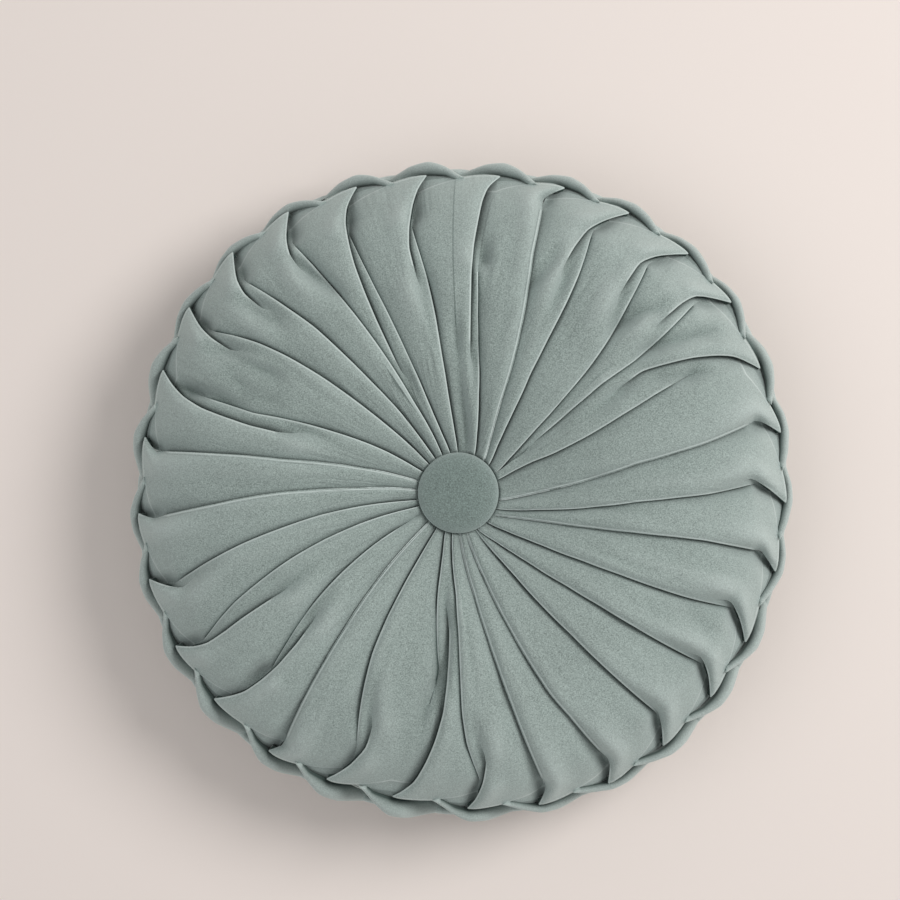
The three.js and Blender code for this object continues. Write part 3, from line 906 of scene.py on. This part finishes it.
def fitted_strands(cover):
    """Both strands of each pleat, fitted to the cover: number, path, lift, tail, and 1 where it fills."""
    strands = []
    end = OUTER_STRAND[-1]
    for number, pleat in enumerate(PLEATS):
        tip_height = panel_edge(cover, number, pleat.tip - PITCH, TIP_SHARE)[1]
        radius, height = panel_edge(cover, number + 1, pleat.tip, end.pitches)
        end_radius = end.outer * rim_shape(pleat.tip + end.pitches * PITCH)
        tail = (radius + END_LIFT - end_radius, height + END_LIFT - end.height)
        strands.append((number, OUTER_STRAND, tip_height - TIP_HEIGHT, tail, 1.0))
        strands.append((number, INNER_STRAND, 0.0, (0.0, 0.0), 0.0))
    return strands


def make_plait(settings, cover):
    """All strands as one mesh of closed tapering tubes, each a grid of rings with a point at either end."""
    points, quads, triangles, marks = [], [], [], []
    count = STRAND_RINGS * STRAND_SIDES
    for place, strand in enumerate(fitted_strands(cover)):
        grid, grid_marks = strand_points(settings, *strand)
        base = place * (count + 2)
        ends = np.array([grid[0].mean(axis=0), grid[-1].mean(axis=0)])
        points += [grid.reshape(-1, 3), ends]
        marks += [grid_marks.reshape(-1, 3), np.array([(OUT_OF_REACH, OUT_OF_REACH, STRAND_RISE)] * 2)]
        quads.append(grid_faces(STRAND_RINGS, STRAND_SIDES)[:, ::-1] + base)
        first = np.arange(STRAND_SIDES) + base
        last = first + count - STRAND_SIDES
        triangles.append(fan_faces(first[::-1], base + count))
        triangles.append(fan_faces(last, base + count + 1))
    parts = (np.concatenate(part) for part in (points, quads, triangles, marks))
    return make_mesh("plaited_rim", *parts)


# A button: the radius of its flat base, the height of its rounded side, the two powers that shape its
# dome, the columns round it, and where the rows lie on base, side and dome, as shares of each.
BUTTON_BASE = 18.0
BUTTON_SIDE = 4.2
DOME_POWER = 2.6
DOME_FULLNESS = 0.62
BUTTON_COLUMNS = 96
BASE_STEPS = np.linspace(0.0, 1.0, 8)[1:]
SIDE_STEPS = np.linspace(0.15, 1.0, 8)
DOME_STEPS = np.linspace(0.03, 1.0, 22)[:-1]


def button_profile(radius, depth):
    """Radii and heights of a button's rows, from near its middle below to near its middle on top.

    A flat base, a quarter of an oval round the side, and a dome whose height falls with a power of the
    radius.
    """
    turn = SIDE_STEPS * np.pi / 2.0
    dome = radius * (1.0 - DOME_STEPS)
    side_radii = BUTTON_BASE + (radius - BUTTON_BASE) * np.sin(turn)
    side_heights = BUTTON_SIDE * (1.0 - np.cos(turn))
    rise = (1.0 - (dome / radius) ** DOME_POWER) ** DOME_FULLNESS
    dome_heights = BUTTON_SIDE + (depth - BUTTON_SIDE) * rise
    radii = np.concatenate([BUTTON_BASE * BASE_STEPS, side_radii, dome])
    return radii, np.concatenate([0.0 * BASE_STEPS, side_heights, dome_heights])


def make_button(name, settings, side):
    """A covered button: its profile turned about its middle, with both middles closed by fans."""
    low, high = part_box(name)
    base = low.z if side > 0 else high.z
    depth = (high.z - low.z) / MM
    radii, heights = button_profile(settings.radius / MM, depth)
    turn = np.radians(np.linspace(0.0, 360.0, BUTTON_COLUMNS, endpoint=False))
    x = radii[:, None] * np.sin(turn)
    y = radii[:, None] * np.cos(turn)
    z = np.broadcast_to(heights[:, None], x.shape) * side
    grid = np.stack([x, y, z], axis=-1) * MM
    grid[..., 2] += base
    count = x.size
    points = np.concatenate([grid.reshape(-1, 3), [(0.0, 0.0, base), (0.0, 0.0, base + side * depth * MM)]])
    quads = grid_faces(radii.size, BUTTON_COLUMNS)
    first = np.arange(BUTTON_COLUMNS)
    last = first + count - BUTTON_COLUMNS
    triangles = np.concatenate([fan_faces(first, count), fan_faces(last[::-1], count + 1)])
    if side > 0:
        quads = quads[:, ::-1]
        triangles = triangles[:, ::-1]
    return make_mesh(name + "_cover", points, quads, triangles)


# Materials


def new_group(name, inputs, outputs):
    """An empty shader node group with the named sockets."""
    group = bpy.data.node_groups.new(name, "ShaderNodeTree")
    for socket, kind, value in inputs:
        made = group.interface.new_socket(socket, in_out="INPUT", socket_type=kind)
        made.default_value = value
    for socket, kind in outputs:
        group.interface.new_socket(socket, in_out="OUTPUT", socket_type=kind)
    return group, group.nodes.new("NodeGroupInput"), group.nodes.new("NodeGroupOutput")


# A noise's scale, as turns to the metre, and its number of finer layers. All are equally rough.
Noise = namedtuple("Noise", "scale detail")
CLOUDS = Noise(18.0, 3.0)
MOTTLING = Noise(420.0, 2.0)
TUFTS = Noise(1400.0, 1.0)
WRINKLES = Noise(260.0, 2.0)
WRINKLE_PATCHES = Noise(22.0, 1.0)
FLOOR_MOTTLING = Noise(3.0, 2.0)
NOISE_ROUGHNESS = 0.6

# Colours that are mixed in: a painted highlight on edges and raised cloth, painted shade in hollows,
# painted shade in crevices that is also the seam's dark line, and a painted sheen where the pile is
# seen aslant. The shader's sheen has its own, and so have the floor's spots.
PAINTED_HIGHLIGHT_COLOUR = (0.75, 0.83, 0.815, 1.0)
PAINTED_HOLLOW_SHADE_COLOUR = (0.02, 0.035, 0.032, 1.0)
CREVICE_SHADE_AND_SEAM_COLOUR = (0.006, 0.027, 0.021, 1.0)
PAINTED_SHEEN_COLOUR = (0.66, 0.755, 0.743, 1.0)
SHEEN_COLOUR = (0.86, 0.93, 0.90, 1.0)
SPOT_COLOUR = (0.7, 0.66, 0.63, 1.0)

# Limits of the painted shade and highlight that come from the cloth's rise, and the strength of the
# seam's dark line.
DARKEST = -0.35
PALEST = 0.25
SEAM_DARK = 0.55

# The shares of tufts and mottling in the pile's height, the strength of its bump, how much the wrinkles
# are drawn out along the pleats, the level over which there are any, and how fast they grow there.
TUFT_HEIGHT = 0.6
MOTTLING_HEIGHT = 0.4
PILE_BUMP = 0.5
WRINKLE_STRETCH = 0.12
WRINKLE_LEVEL = 0.42
WRINKLE_GROWTH = 5.0

# Roughness of cloth and floor, the cloth's mirror strength and its sheen's roughness, and the share of
# spots.
MATT = 0.9
CLOTH_MIRROR = 0.2
SHEEN_ROUGHNESS = 0.35
SPOT_SHARE = 0.03


def feed(tree, socket, value):
    """Links a node's input to another node's output, or gives it a plain value."""
    if isinstance(value, (int, float, tuple)):
        socket.default_value = value
    else:
        tree.links.new(value, socket)


def add_noise(tree, source, noise):
    """A noise texture on the given coordinates."""
    node = tree.nodes.new("ShaderNodeTexNoise")
    node.inputs["Scale"].default_value = noise.scale
    node.inputs["Detail"].default_value = noise.detail
    node.inputs["Roughness"].default_value = NOISE_ROUGHNESS
    tree.links.new(source, node.inputs["Vector"])
    return node.outputs["Fac"]


def add_math(tree, operation, *values):
    """A math node of one, two or three values, each a socket or a number."""
    node = tree.nodes.new("ShaderNodeMath")
    node.operation = operation
    for socket, value in zip(node.inputs, values):
        feed(tree, socket, value)
    return node.outputs[0]


def add_mix(tree, share, first, second):
    """A mix of two colours by a share, each a socket or a value."""
    node = tree.nodes.new("ShaderNodeMix")
    node.data_type = "RGBA"
    node.clamp_factor = True
    for name, kind, value in (("Factor", "VALUE", share), ("A", "RGBA", first), ("B", "RGBA", second)):
        feed(tree, next(s for s in node.inputs if s.name == name and s.type == kind), value)
    return next(s for s in node.outputs if s.type == "RGBA")


def split_vector(tree, vector):
    """The three parts of a vector, as sockets."""
    parts = tree.nodes.new("ShaderNodeSeparateXYZ")
    tree.links.new(vector, parts.inputs[0])
    return parts.outputs


def velvet_group():
    """Short pile: clouds where it lies differently, mottling, grain of the fibres, and height for a bump."""
    name = "Velvet pile"
    if name in bpy.data.node_groups:
        return bpy.data.node_groups[name]
    group, inside, outside = new_group(
        name,
        (
            ("Base", "NodeSocketColor", (0.28, 0.33, 0.31, 1.0)),
            ("Clouds", "NodeSocketFloat", 0.1),
            ("Mottling", "NodeSocketFloat", 0.1),
            ("Grain", "NodeSocketFloat", 0.15),
        ),
        (("Color", "NodeSocketColor"), ("Height", "NodeSocketFloat")),
    )
    do = partial(add_math, group)
    place = group.nodes.new("ShaderNodeTexCoord").outputs["Object"]
    clouds, mottling, grain = (add_noise(group, place, noise) for noise in (CLOUDS, MOTTLING, TUFTS))
    value = 0.0
    for socket, noise in (("Clouds", clouds), ("Mottling", mottling), ("Grain", grain)):
        value = do("MULTIPLY_ADD", do("SUBTRACT", noise, 0.5), inside.outputs[socket], value)
    scale = group.nodes.new("ShaderNodeVectorMath")
    scale.operation = "SCALE"
    group.links.new(inside.outputs["Base"], scale.inputs[0])
    group.links.new(do("ADD", value, 1.0), scale.inputs["Scale"])
    group.links.new(scale.outputs["Vector"], outside.inputs["Color"])
    height = do("MULTIPLY_ADD", grain, TUFT_HEIGHT, do("MULTIPLY", mottling, MOTTLING_HEIGHT))
    group.links.new(height, outside.inputs["Height"])
    return group


# The seam that closes the tube of cloth: its bearing at its middle, its bow at its ends, and the radii
# in metres of its middle and its ends.
Seam = namedtuple("Seam", "bearing bow middle inner outer")
SEAM = Seam(-1.2, 0.7, 0.131, 0.094, 0.178)


def seam_distance(tree, place):
    """Distance in metres from the seam, for a place on the cloth. It grows again past the seam's two ends."""
    do = partial(add_math, tree)
    round_cloth, radius = split_vector(tree, place)[:2]
    from_middle = do("DIVIDE", do("SUBTRACT", radius, SEAM.middle), SEAM.outer - SEAM.middle)
    bow = do("MULTIPLY", do("MULTIPLY", from_middle, from_middle), math.radians(SEAM.bow))
    turn = do("SUBTRACT", do("DIVIDE", round_cloth, CLOTH_RADIUS), math.radians(SEAM.bearing))
    across = do("ABSOLUTE", do("MULTIPLY", do("SUBTRACT", turn, bow), radius))
    before = do("MAXIMUM", do("SUBTRACT", SEAM.inner, radius), 0.0)
    beyond = do("MAXIMUM", do("SUBTRACT", radius, SEAM.outer), 0.0)
    return do("ADD", across, do("ADD", before, beyond))


def seam_tone(tree, settings, place, finished):
    """A colour with the seam's dark line: a bell across the distance from it."""
    do = partial(add_math, tree)
    across = seam_distance(tree, place)
    line = do("EXPONENT", do("MULTIPLY", do("MULTIPLY", across, across), -1.0 / (settings.seam_width**2)))
    return add_mix(tree, do("MULTIPLY", line, SEAM_DARK), finished, CREVICE_SHADE_AND_SEAM_COLOUR)


def paint_fold_highlight_and_shade(tree, settings, marks, finished):
    """A colour with a painted highlight on fold edges and raised cloth, and painted shade in its hollows."""
    do = partial(add_math, tree)
    near = do("POWER", do("DIVIDE", marks[0], settings.edge_width / MM), 2.0)
    near = do("MULTIPLY", do("EXPONENT", do("MULTIPLY", near, -1.0)), settings.painted_edge_light)
    finished = add_mix(tree, near, finished, PAINTED_HIGHLIGHT_COLOUR)
    rise = do("MULTIPLY", marks[2], settings.painted_relief_tone)
    rise = do("MINIMUM", do("MAXIMUM", rise, DARKEST), PALEST)
    finished = add_mix(tree, do("MAXIMUM", rise, 0.0), finished, PAINTED_HIGHLIGHT_COLOUR)
    return add_mix(tree, do("MULTIPLY", do("MINIMUM", rise, 0.0), -1.0), finished, PAINTED_HOLLOW_SHADE_COLOUR)


def paint_crevice_shade(tree, settings, marks, finished):
    """A colour with painted shade towards the crevices."""
    do = partial(add_math, tree)
    deep = do("DIVIDE", do("MAXIMUM", marks[1], 0.0), settings.crevice_width / MM)
    deep = do("MULTIPLY", do("EXPONENT", do("MULTIPLY", deep, -1.0)), settings.crevice_painted_shade)
    return add_mix(tree, deep, finished, CREVICE_SHADE_AND_SEAM_COLOUR)


def add_bump(tree, strength, depth, height):
    """A bump node on a height, with its depth in metres."""
    bump = tree.nodes.new("ShaderNodeBump")
    bump.inputs["Strength"].default_value = strength
    bump.inputs["Distance"].default_value = depth
    tree.links.new(height, bump.inputs["Height"])
    return bump


def wrinkle_height(tree, place):
    """Height of fine wrinkles that run with the pleats, in patches where a slower noise is above a level."""
    do = partial(add_math, tree)
    stretch = tree.nodes.new("ShaderNodeMapping")
    stretch.inputs["Scale"].default_value = (1.0, WRINKLE_STRETCH, 1.0)
    tree.links.new(place, stretch.inputs["Vector"])
    wrinkles = add_noise(tree, stretch.outputs["Vector"], WRINKLES)
    patches = add_noise(tree, place, WRINKLE_PATCHES)
    patches = do("MULTIPLY", do("MAXIMUM", do("SUBTRACT", patches, WRINKLE_LEVEL), 0.0), WRINKLE_GROWTH)
    return do("MULTIPLY", wrinkles, patches)


def new_material(name):
    """A material, its node tree and its main shader."""
    material = bpy.data.materials.new(name)
    material.use_nodes = True
    return material, material.node_tree, material.node_tree.nodes["Principled BSDF"]


def velvet_material(name, colour, settings, folded=False, wrinkled=False):
    """Velvet: a rough base with a pale sheen, its colour from the pile group and a painted sheen aslant.

    Folded velvet reads the fold marks for painted highlights on its edges and raised cloth, and painted
    shade in its hollows and crevices. Wrinkled velvet reads its place on the cloth for the seam and the
    wrinkles.
    """
    material, tree, shader = new_material(name)
    pile = tree.nodes.new("ShaderNodeGroup")
    pile.node_tree = velvet_group()
    pile.inputs["Base"].default_value = (*colour, 1.0)
    pile.inputs["Clouds"].default_value = settings.clouds
    pile.inputs["Mottling"].default_value = settings.mottling
    pile.inputs["Grain"].default_value = settings.grain
    finished = pile.outputs["Color"]
    if wrinkled:
        cloth = tree.nodes.new("ShaderNodeUVMap")
        cloth.uv_map = "cloth"
        place = cloth.outputs["UV"]
        finished = seam_tone(tree, settings, place, finished)
    if folded:
        attribute = tree.nodes.new("ShaderNodeAttribute")
        attribute.attribute_name = "fold_marks"
        marks = split_vector(tree, attribute.outputs["Vector"])
        finished = paint_fold_highlight_and_shade(tree, settings, marks, finished)
    # Painted sheen: the colour turns paler where the surface is seen aslant.
    facing = tree.nodes.new("ShaderNodeLayerWeight").outputs["Facing"]
    turned = add_math(tree, "MULTIPLY", facing, settings.painted_sheen)
    finished = add_mix(tree, turned, finished, PAINTED_SHEEN_COLOUR)
    # Painted shade in the crevices, mixed in after the painted sheen.
    if folded:
        finished = paint_crevice_shade(tree, settings, marks, finished)
    tree.links.new(finished, shader.inputs["Base Color"])
    shader.inputs["Roughness"].default_value = MATT
    shader.inputs["Specular IOR Level"].default_value = CLOTH_MIRROR
    shader.inputs["Sheen Weight"].default_value = settings.sheen
    shader.inputs["Sheen Roughness"].default_value = SHEEN_ROUGHNESS
    shader.inputs["Sheen Tint"].default_value = SHEEN_COLOUR
    bump = add_bump(tree, PILE_BUMP, settings.pile_depth, pile.outputs["Height"])
    tree.links.new(bump.outputs["Normal"], shader.inputs["Normal"])
    if wrinkled:
        ridges = add_bump(tree, 1.0, settings.wrinkle_depth, wrinkle_height(tree, place))
        tree.links.new(ridges.outputs["Normal"], bump.inputs["Normal"])
    return material


def plain_material(name, colour):
    """A matt floor with faint spots."""
    material, tree, shader = new_material(name)
    place = tree.nodes.new("ShaderNodeTexCoord").outputs["Object"]
    share = add_math(tree, "MULTIPLY", add_noise(tree, place, FLOOR_MOTTLING), SPOT_SHARE)
    tree.links.new(add_mix(tree, share, (*colour, 1.0), SPOT_COLOUR), shader.inputs["Base Color"])
    shader.inputs["Roughness"].default_value = MATT
    return material


# Settings that a user would change


def length(name, description, value, low=0.0, high=1.0):
    """A length property in metres."""
    limits = {"default": value, "min": low, "max": high}
    return FloatProperty(name=name, description=description, unit="LENGTH", precision=4, **limits)


def number(name, description, value, subtype="NONE"):
    """A plain number property, or an angle."""
    return FloatProperty(name=name, description=description, default=value, subtype=subtype)


def colour(name, description, value):
    """A colour property."""
    return FloatVectorProperty(name=name, description=description, default=value, size=3, subtype="COLOR")


class CushionCover(bpy.types.PropertyGroup):
    """Sizes of the cover's pleats."""

    dip_depth: length("Dip depth", "How low the cloth lies where it comes out from under a fold", 0.0080)
    dip_reach: length("Dip reach", "How far from the fold the dip fades", 0.005)
    rise_height: length("Rise height", "How much the cloth rises to a fold", 0.0052)
    rise_reach: length("Rise reach", "How far before the fold the rise starts", 0.010)
    edge_reach: length("Edge reach", "How far from the fold its crest starts to round down", 0.0025)
    rounding: number("Rounding", "How far the crest rounds down at the edge, over its height", 1.25)
    trace_rise: length("Trace rise", "Height of the soft ridge that a fold leaves past its end", 0.0030)
    trace_dip: length("Trace dip", "Depth of the soft valley that a fold leaves past its end", 0.0055)
    slack: length("Slack", "Height of the slow waves in the cloth", 0.0009)
    undercut: length("Undercut", "How far the next cloth starts under a fold", 0.004)
    roll_radius: length("Roll radius", "Radius of a fold's rolled edge", 0.0014)
    lean: number("Lean", "Slope of the eye's lean to the right", 0.036)
    lean_height: length("Lean height", "Height of the button's top over the rim's middle plane", 0.036)


class CushionPlait(bpy.types.PropertyGroup):
    """Sizes of the plaited rim."""

    slope: number("Slope", "How much a strand's section falls outwards", 0.35)
    fullness: length("Fullness", "Half of how much deeper than wide a strand is in its middle", 0.0045)
    sink: number("Sink", "How much a strand's section falls to its inner flank", 0.4)
    # The painted shade on a strand's inner flank.
    shade: length("Shade", "How fast the shade on a strand's inner flank fades", 0.0015)


class CushionButton(bpy.types.PropertyGroup):
    """Sizes of the covered buttons."""

    radius: length("Radius", "Radius of a covered button", 0.0228)


class CushionVelvet(bpy.types.PropertyGroup):
    """Colours and finish of the velvet, and its painted highlights, shade and sheen."""

    cover: colour("Cover", "Colour of the cover", (0.282, 0.341, 0.323))
    button: colour("Button", "Colour of the buttons", (0.187, 0.240, 0.225))
    clouds: number("Clouds", "Broad changes of tone in the pile", 0.3)
    mottling: number("Mottling", "Fine changes of tone in the pile", 0.22)
    grain: number("Grain", "Tone of single tufts", 1.5)
    sheen: number("Sheen", "Weight of the pale sheen", 0.45)
    # The painted sheen that pales the pile where it is seen aslant.
    painted_sheen: number("Turned light", "How much paler the pile is when seen aslant", 0.6)
    pile_depth: length("Pile depth", "Depth of the pile's bumps", 0.00035)
    wrinkle_depth: length("Wrinkle depth", "Depth of the fine wrinkles that run with the pleats", 0.0012)
    # Painted highlight on raised cloth and painted shade in hollows, per millimetre of rise.
    painted_relief_tone: number("Hollow tone", "How much tone changes per mm of rise", 0.055)
    seam_width: length("Seam width", "Half width of the seam's dark line", 0.0004)
    # The painted highlight line along a fold's edge: its strength and half width.
    painted_edge_light: number("Edge light", "How much lighter a fold's edge is", 0.8)
    edge_width: length("Edge width", "Half width of the light line on a fold", 0.0006)
    # The painted shade under a fold: its strength and reach.
    crevice_painted_shade: number("Crevice dark", "How much darker the cloth is under a fold", 0.88)
    crevice_width: length("Crevice width", "How far the darkness reaches from under a fold", 0.0009)


class CushionStage(bpy.types.PropertyGroup):
    """Floor, light and camera."""

    floor: colour("Floor", "Colour of the floor", (0.85, 0.775, 0.735))
    distance: length("Distance", "From the rim's plane to the camera", 1.55, 0.2, 10.0)
    lean: number("Lean", "The camera's lean to the right", math.radians(2.3), "ANGLE")
    lens: number("Lens", "Focal length in millimetres", 107.5)
    key: number("Key light", "Power of the large soft light", 27.2)
    fill: number("Fill light", "Power of the overhead light", 8.6)
    ambient: number("Ambient", "Strength of the pale surroundings", 0.40)


# Operators


def finish_piece(piece, material, slot, *nodes):
    """Gives a piece its material, its place on the body and the nodes it stands for; its slot is unused."""
    piece.data.materials.append(material)
    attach(piece, "root")
    if nodes:
        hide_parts(*nodes)
    return piece


class CUSHION_OT_cover(bpy.types.Operator):
    """Makes the pleated velvet cover"""

    bl_idname = "cushion.cover"
    bl_label = "Pleated cover"

    def execute(self, context):
        scene = context.scene
        velvet = scene.cushion_velvet
        cover = make_cover(scene.cushion_cover)
        material = velvet_material("velvet", velvet.cover, velvet, folded=True, wrinkled=True)
        finish_piece(cover, material, "velvet", "cover")
        return {"FINISHED"}


class CUSHION_OT_plait(bpy.types.Operator):
    """Makes the rolled folds that interlock round the rim"""

    bl_idname = "cushion.plait"
    bl_label = "Plaited rim"

    def execute(self, context):
        scene = context.scene
        velvet = scene.cushion_velvet
        plait = make_plait(scene.cushion_plait, scene.cushion_cover)
        material = velvet_material("velvet_rolled", velvet.cover, velvet, folded=True)
        finish_piece(plait, material, "velvet")
        return {"FINISHED"}


class CUSHION_OT_buttons(bpy.types.Operator):
    """Makes the two covered buttons"""

    bl_idname = "cushion.buttons"
    bl_label = "Covered buttons"

    def execute(self, context):
        scene = context.scene
        velvet = scene.cushion_velvet
        material = velvet_material("button_velvet", velvet.button, velvet)
        for node, side in (("button_front", 1.0), ("button_back", -1.0)):
            button = make_button(node, scene.cushion_button, side)
            finish_piece(button, material, "button_velvet", node)
        return {"FINISHED"}


# The stage in metres: half the floor's width and its drop under the cushion, the key light's bearing in
# radians, distance from the middle, height and width, the fill light's place and width, the lights'
# colours, the point that the camera looks at, and the nearest and farthest that it sees.
FLOOR_REACH = 6.0
FLOOR_DROP = 0.0005
KEY_BEARING = math.radians(66.0)
KEY_DISTANCE = 1.45
KEY_HEIGHT = 1.6
KEY_WIDTH = 1.1
KEY_COLOUR = (1.0, 0.985, 0.965)
FILL_PLACE = (-1.1, -0.3, 2.0)
FILL_WIDTH = 2.0
FILL_COLOUR = (0.97, 0.985, 1.0)
SKY_COLOUR = (1.0, 0.985, 0.97, 1.0)
CAMERA_TARGET = (-0.0060, 0.0242, MIDDLE * MM)
CAMERA_RANGE = (0.05, 30.0)


def aim(thing, place, target):
    """Puts a light or camera at a place and points it at a target, with the picture's top towards +Y."""
    back = (Vector(place) - Vector(target)).normalized()
    side = Vector((0.0, 1.0, 0.0)).cross(back).normalized()
    turn = Matrix((side, back.cross(side), back)).transposed()
    thing.matrix_world = Matrix.Translation(place) @ turn.to_4x4()


def add_area_light(name, size, power, place, colour):
    """A round area light that points at the cushion."""
    data = bpy.data.lights.new(name, "AREA")
    data.shape = "DISK"
    data.size = size
    data.energy = power
    data.color = colour
    light = bpy.data.objects.new(name, data)
    bpy.context.scene.collection.objects.link(light)
    aim(light, place, (0.0, 0.0, MIDDLE * MM))


class CUSHION_OT_stage(bpy.types.Operator):
    """Makes the pale floor, the soft lights and the camera"""

    bl_idname = "cushion.stage"
    bl_label = "Studio"

    def execute(self, context):
        scene = context.scene
        settings = scene.cushion_stage
        corners = ((-1.0, -1.0), (1.0, -1.0), (1.0, 1.0), (-1.0, 1.0))
        points = np.array([(FLOOR_REACH * x, FLOOR_REACH * y, -FLOOR_DROP) for x, y in corners])
        floor = make_mesh("floor", points, np.array([[0, 1, 2, 3]]))
        floor.data.materials.append(plain_material("pale_floor", settings.floor))
        key = (KEY_DISTANCE * math.sin(KEY_BEARING), KEY_DISTANCE * math.cos(KEY_BEARING), KEY_HEIGHT)
        add_area_light("key_light", KEY_WIDTH, settings.key, key, KEY_COLOUR)
        add_area_light("fill_light", FILL_WIDTH, settings.fill, FILL_PLACE, FILL_COLOUR)
        world = bpy.data.worlds.new("surroundings")
        world.use_nodes = True
        sky = world.node_tree.nodes["Background"]
        sky.inputs["Color"].default_value = SKY_COLOUR
        sky.inputs["Strength"].default_value = settings.ambient
        scene.world = world
        scene.view_settings.view_transform = "Standard"
        data = bpy.data.cameras.new("camera")
        data.lens = settings.lens
        data.clip_start, data.clip_end = CAMERA_RANGE
        camera = bpy.data.objects.new("camera", data)
        scene.collection.objects.link(camera)
        target = Vector(CAMERA_TARGET)
        back = Vector((math.sin(settings.lean), 0.0, math.cos(settings.lean)))
        aim(camera, target + back * settings.distance, target)
        scene.camera = camera
        return {"FINISHED"}


class CUSHION_PT_panel(bpy.types.Panel):
    """Lists the cushion's pieces in the sidebar"""

    bl_idname = "CUSHION_PT_panel"
    bl_label = "Round pleated cushion"
    bl_space_type = "VIEW_3D"
    bl_region_type = "UI"
    bl_category = "Cushion"

    def draw(self, context):
        for operator in OPERATORS:
            self.layout.operator(operator.bl_idname)
        for name in SETTINGS:
            for prop in getattr(context.scene, name).bl_rna.properties:
                if prop.is_runtime:
                    self.layout.prop(getattr(context.scene, name), prop.identifier)


SETTINGS = {
    "cushion_cover": CushionCover,
    "cushion_plait": CushionPlait,
    "cushion_button": CushionButton,
    "cushion_velvet": CushionVelvet,
    "cushion_stage": CushionStage,
}
OPERATORS = (CUSHION_OT_cover, CUSHION_OT_plait, CUSHION_OT_buttons, CUSHION_OT_stage)


def register():
    """Registers the settings, the operators and the panel."""
    for name, group in SETTINGS.items():
        bpy.utils.register_class(group)
        setattr(bpy.types.Scene, name, PointerProperty(type=group))
    for kind in (*OPERATORS, CUSHION_PT_panel):
        bpy.utils.register_class(kind)


def unregister():
    """Takes the panel, the operators and the settings out again."""
    for kind in (CUSHION_PT_panel, *reversed(OPERATORS)):
        bpy.utils.unregister_class(kind)
    for name, group in reversed(SETTINGS.items()):
        delattr(bpy.types.Scene, name)
        bpy.utils.unregister_class(group)


def main():
    """Makes every piece."""
    register()
    bpy.ops.cushion.cover()
    bpy.ops.cushion.plait()
    bpy.ops.cushion.buttons()
    bpy.ops.cushion.stage()


if __name__ == "__main__":
    main()
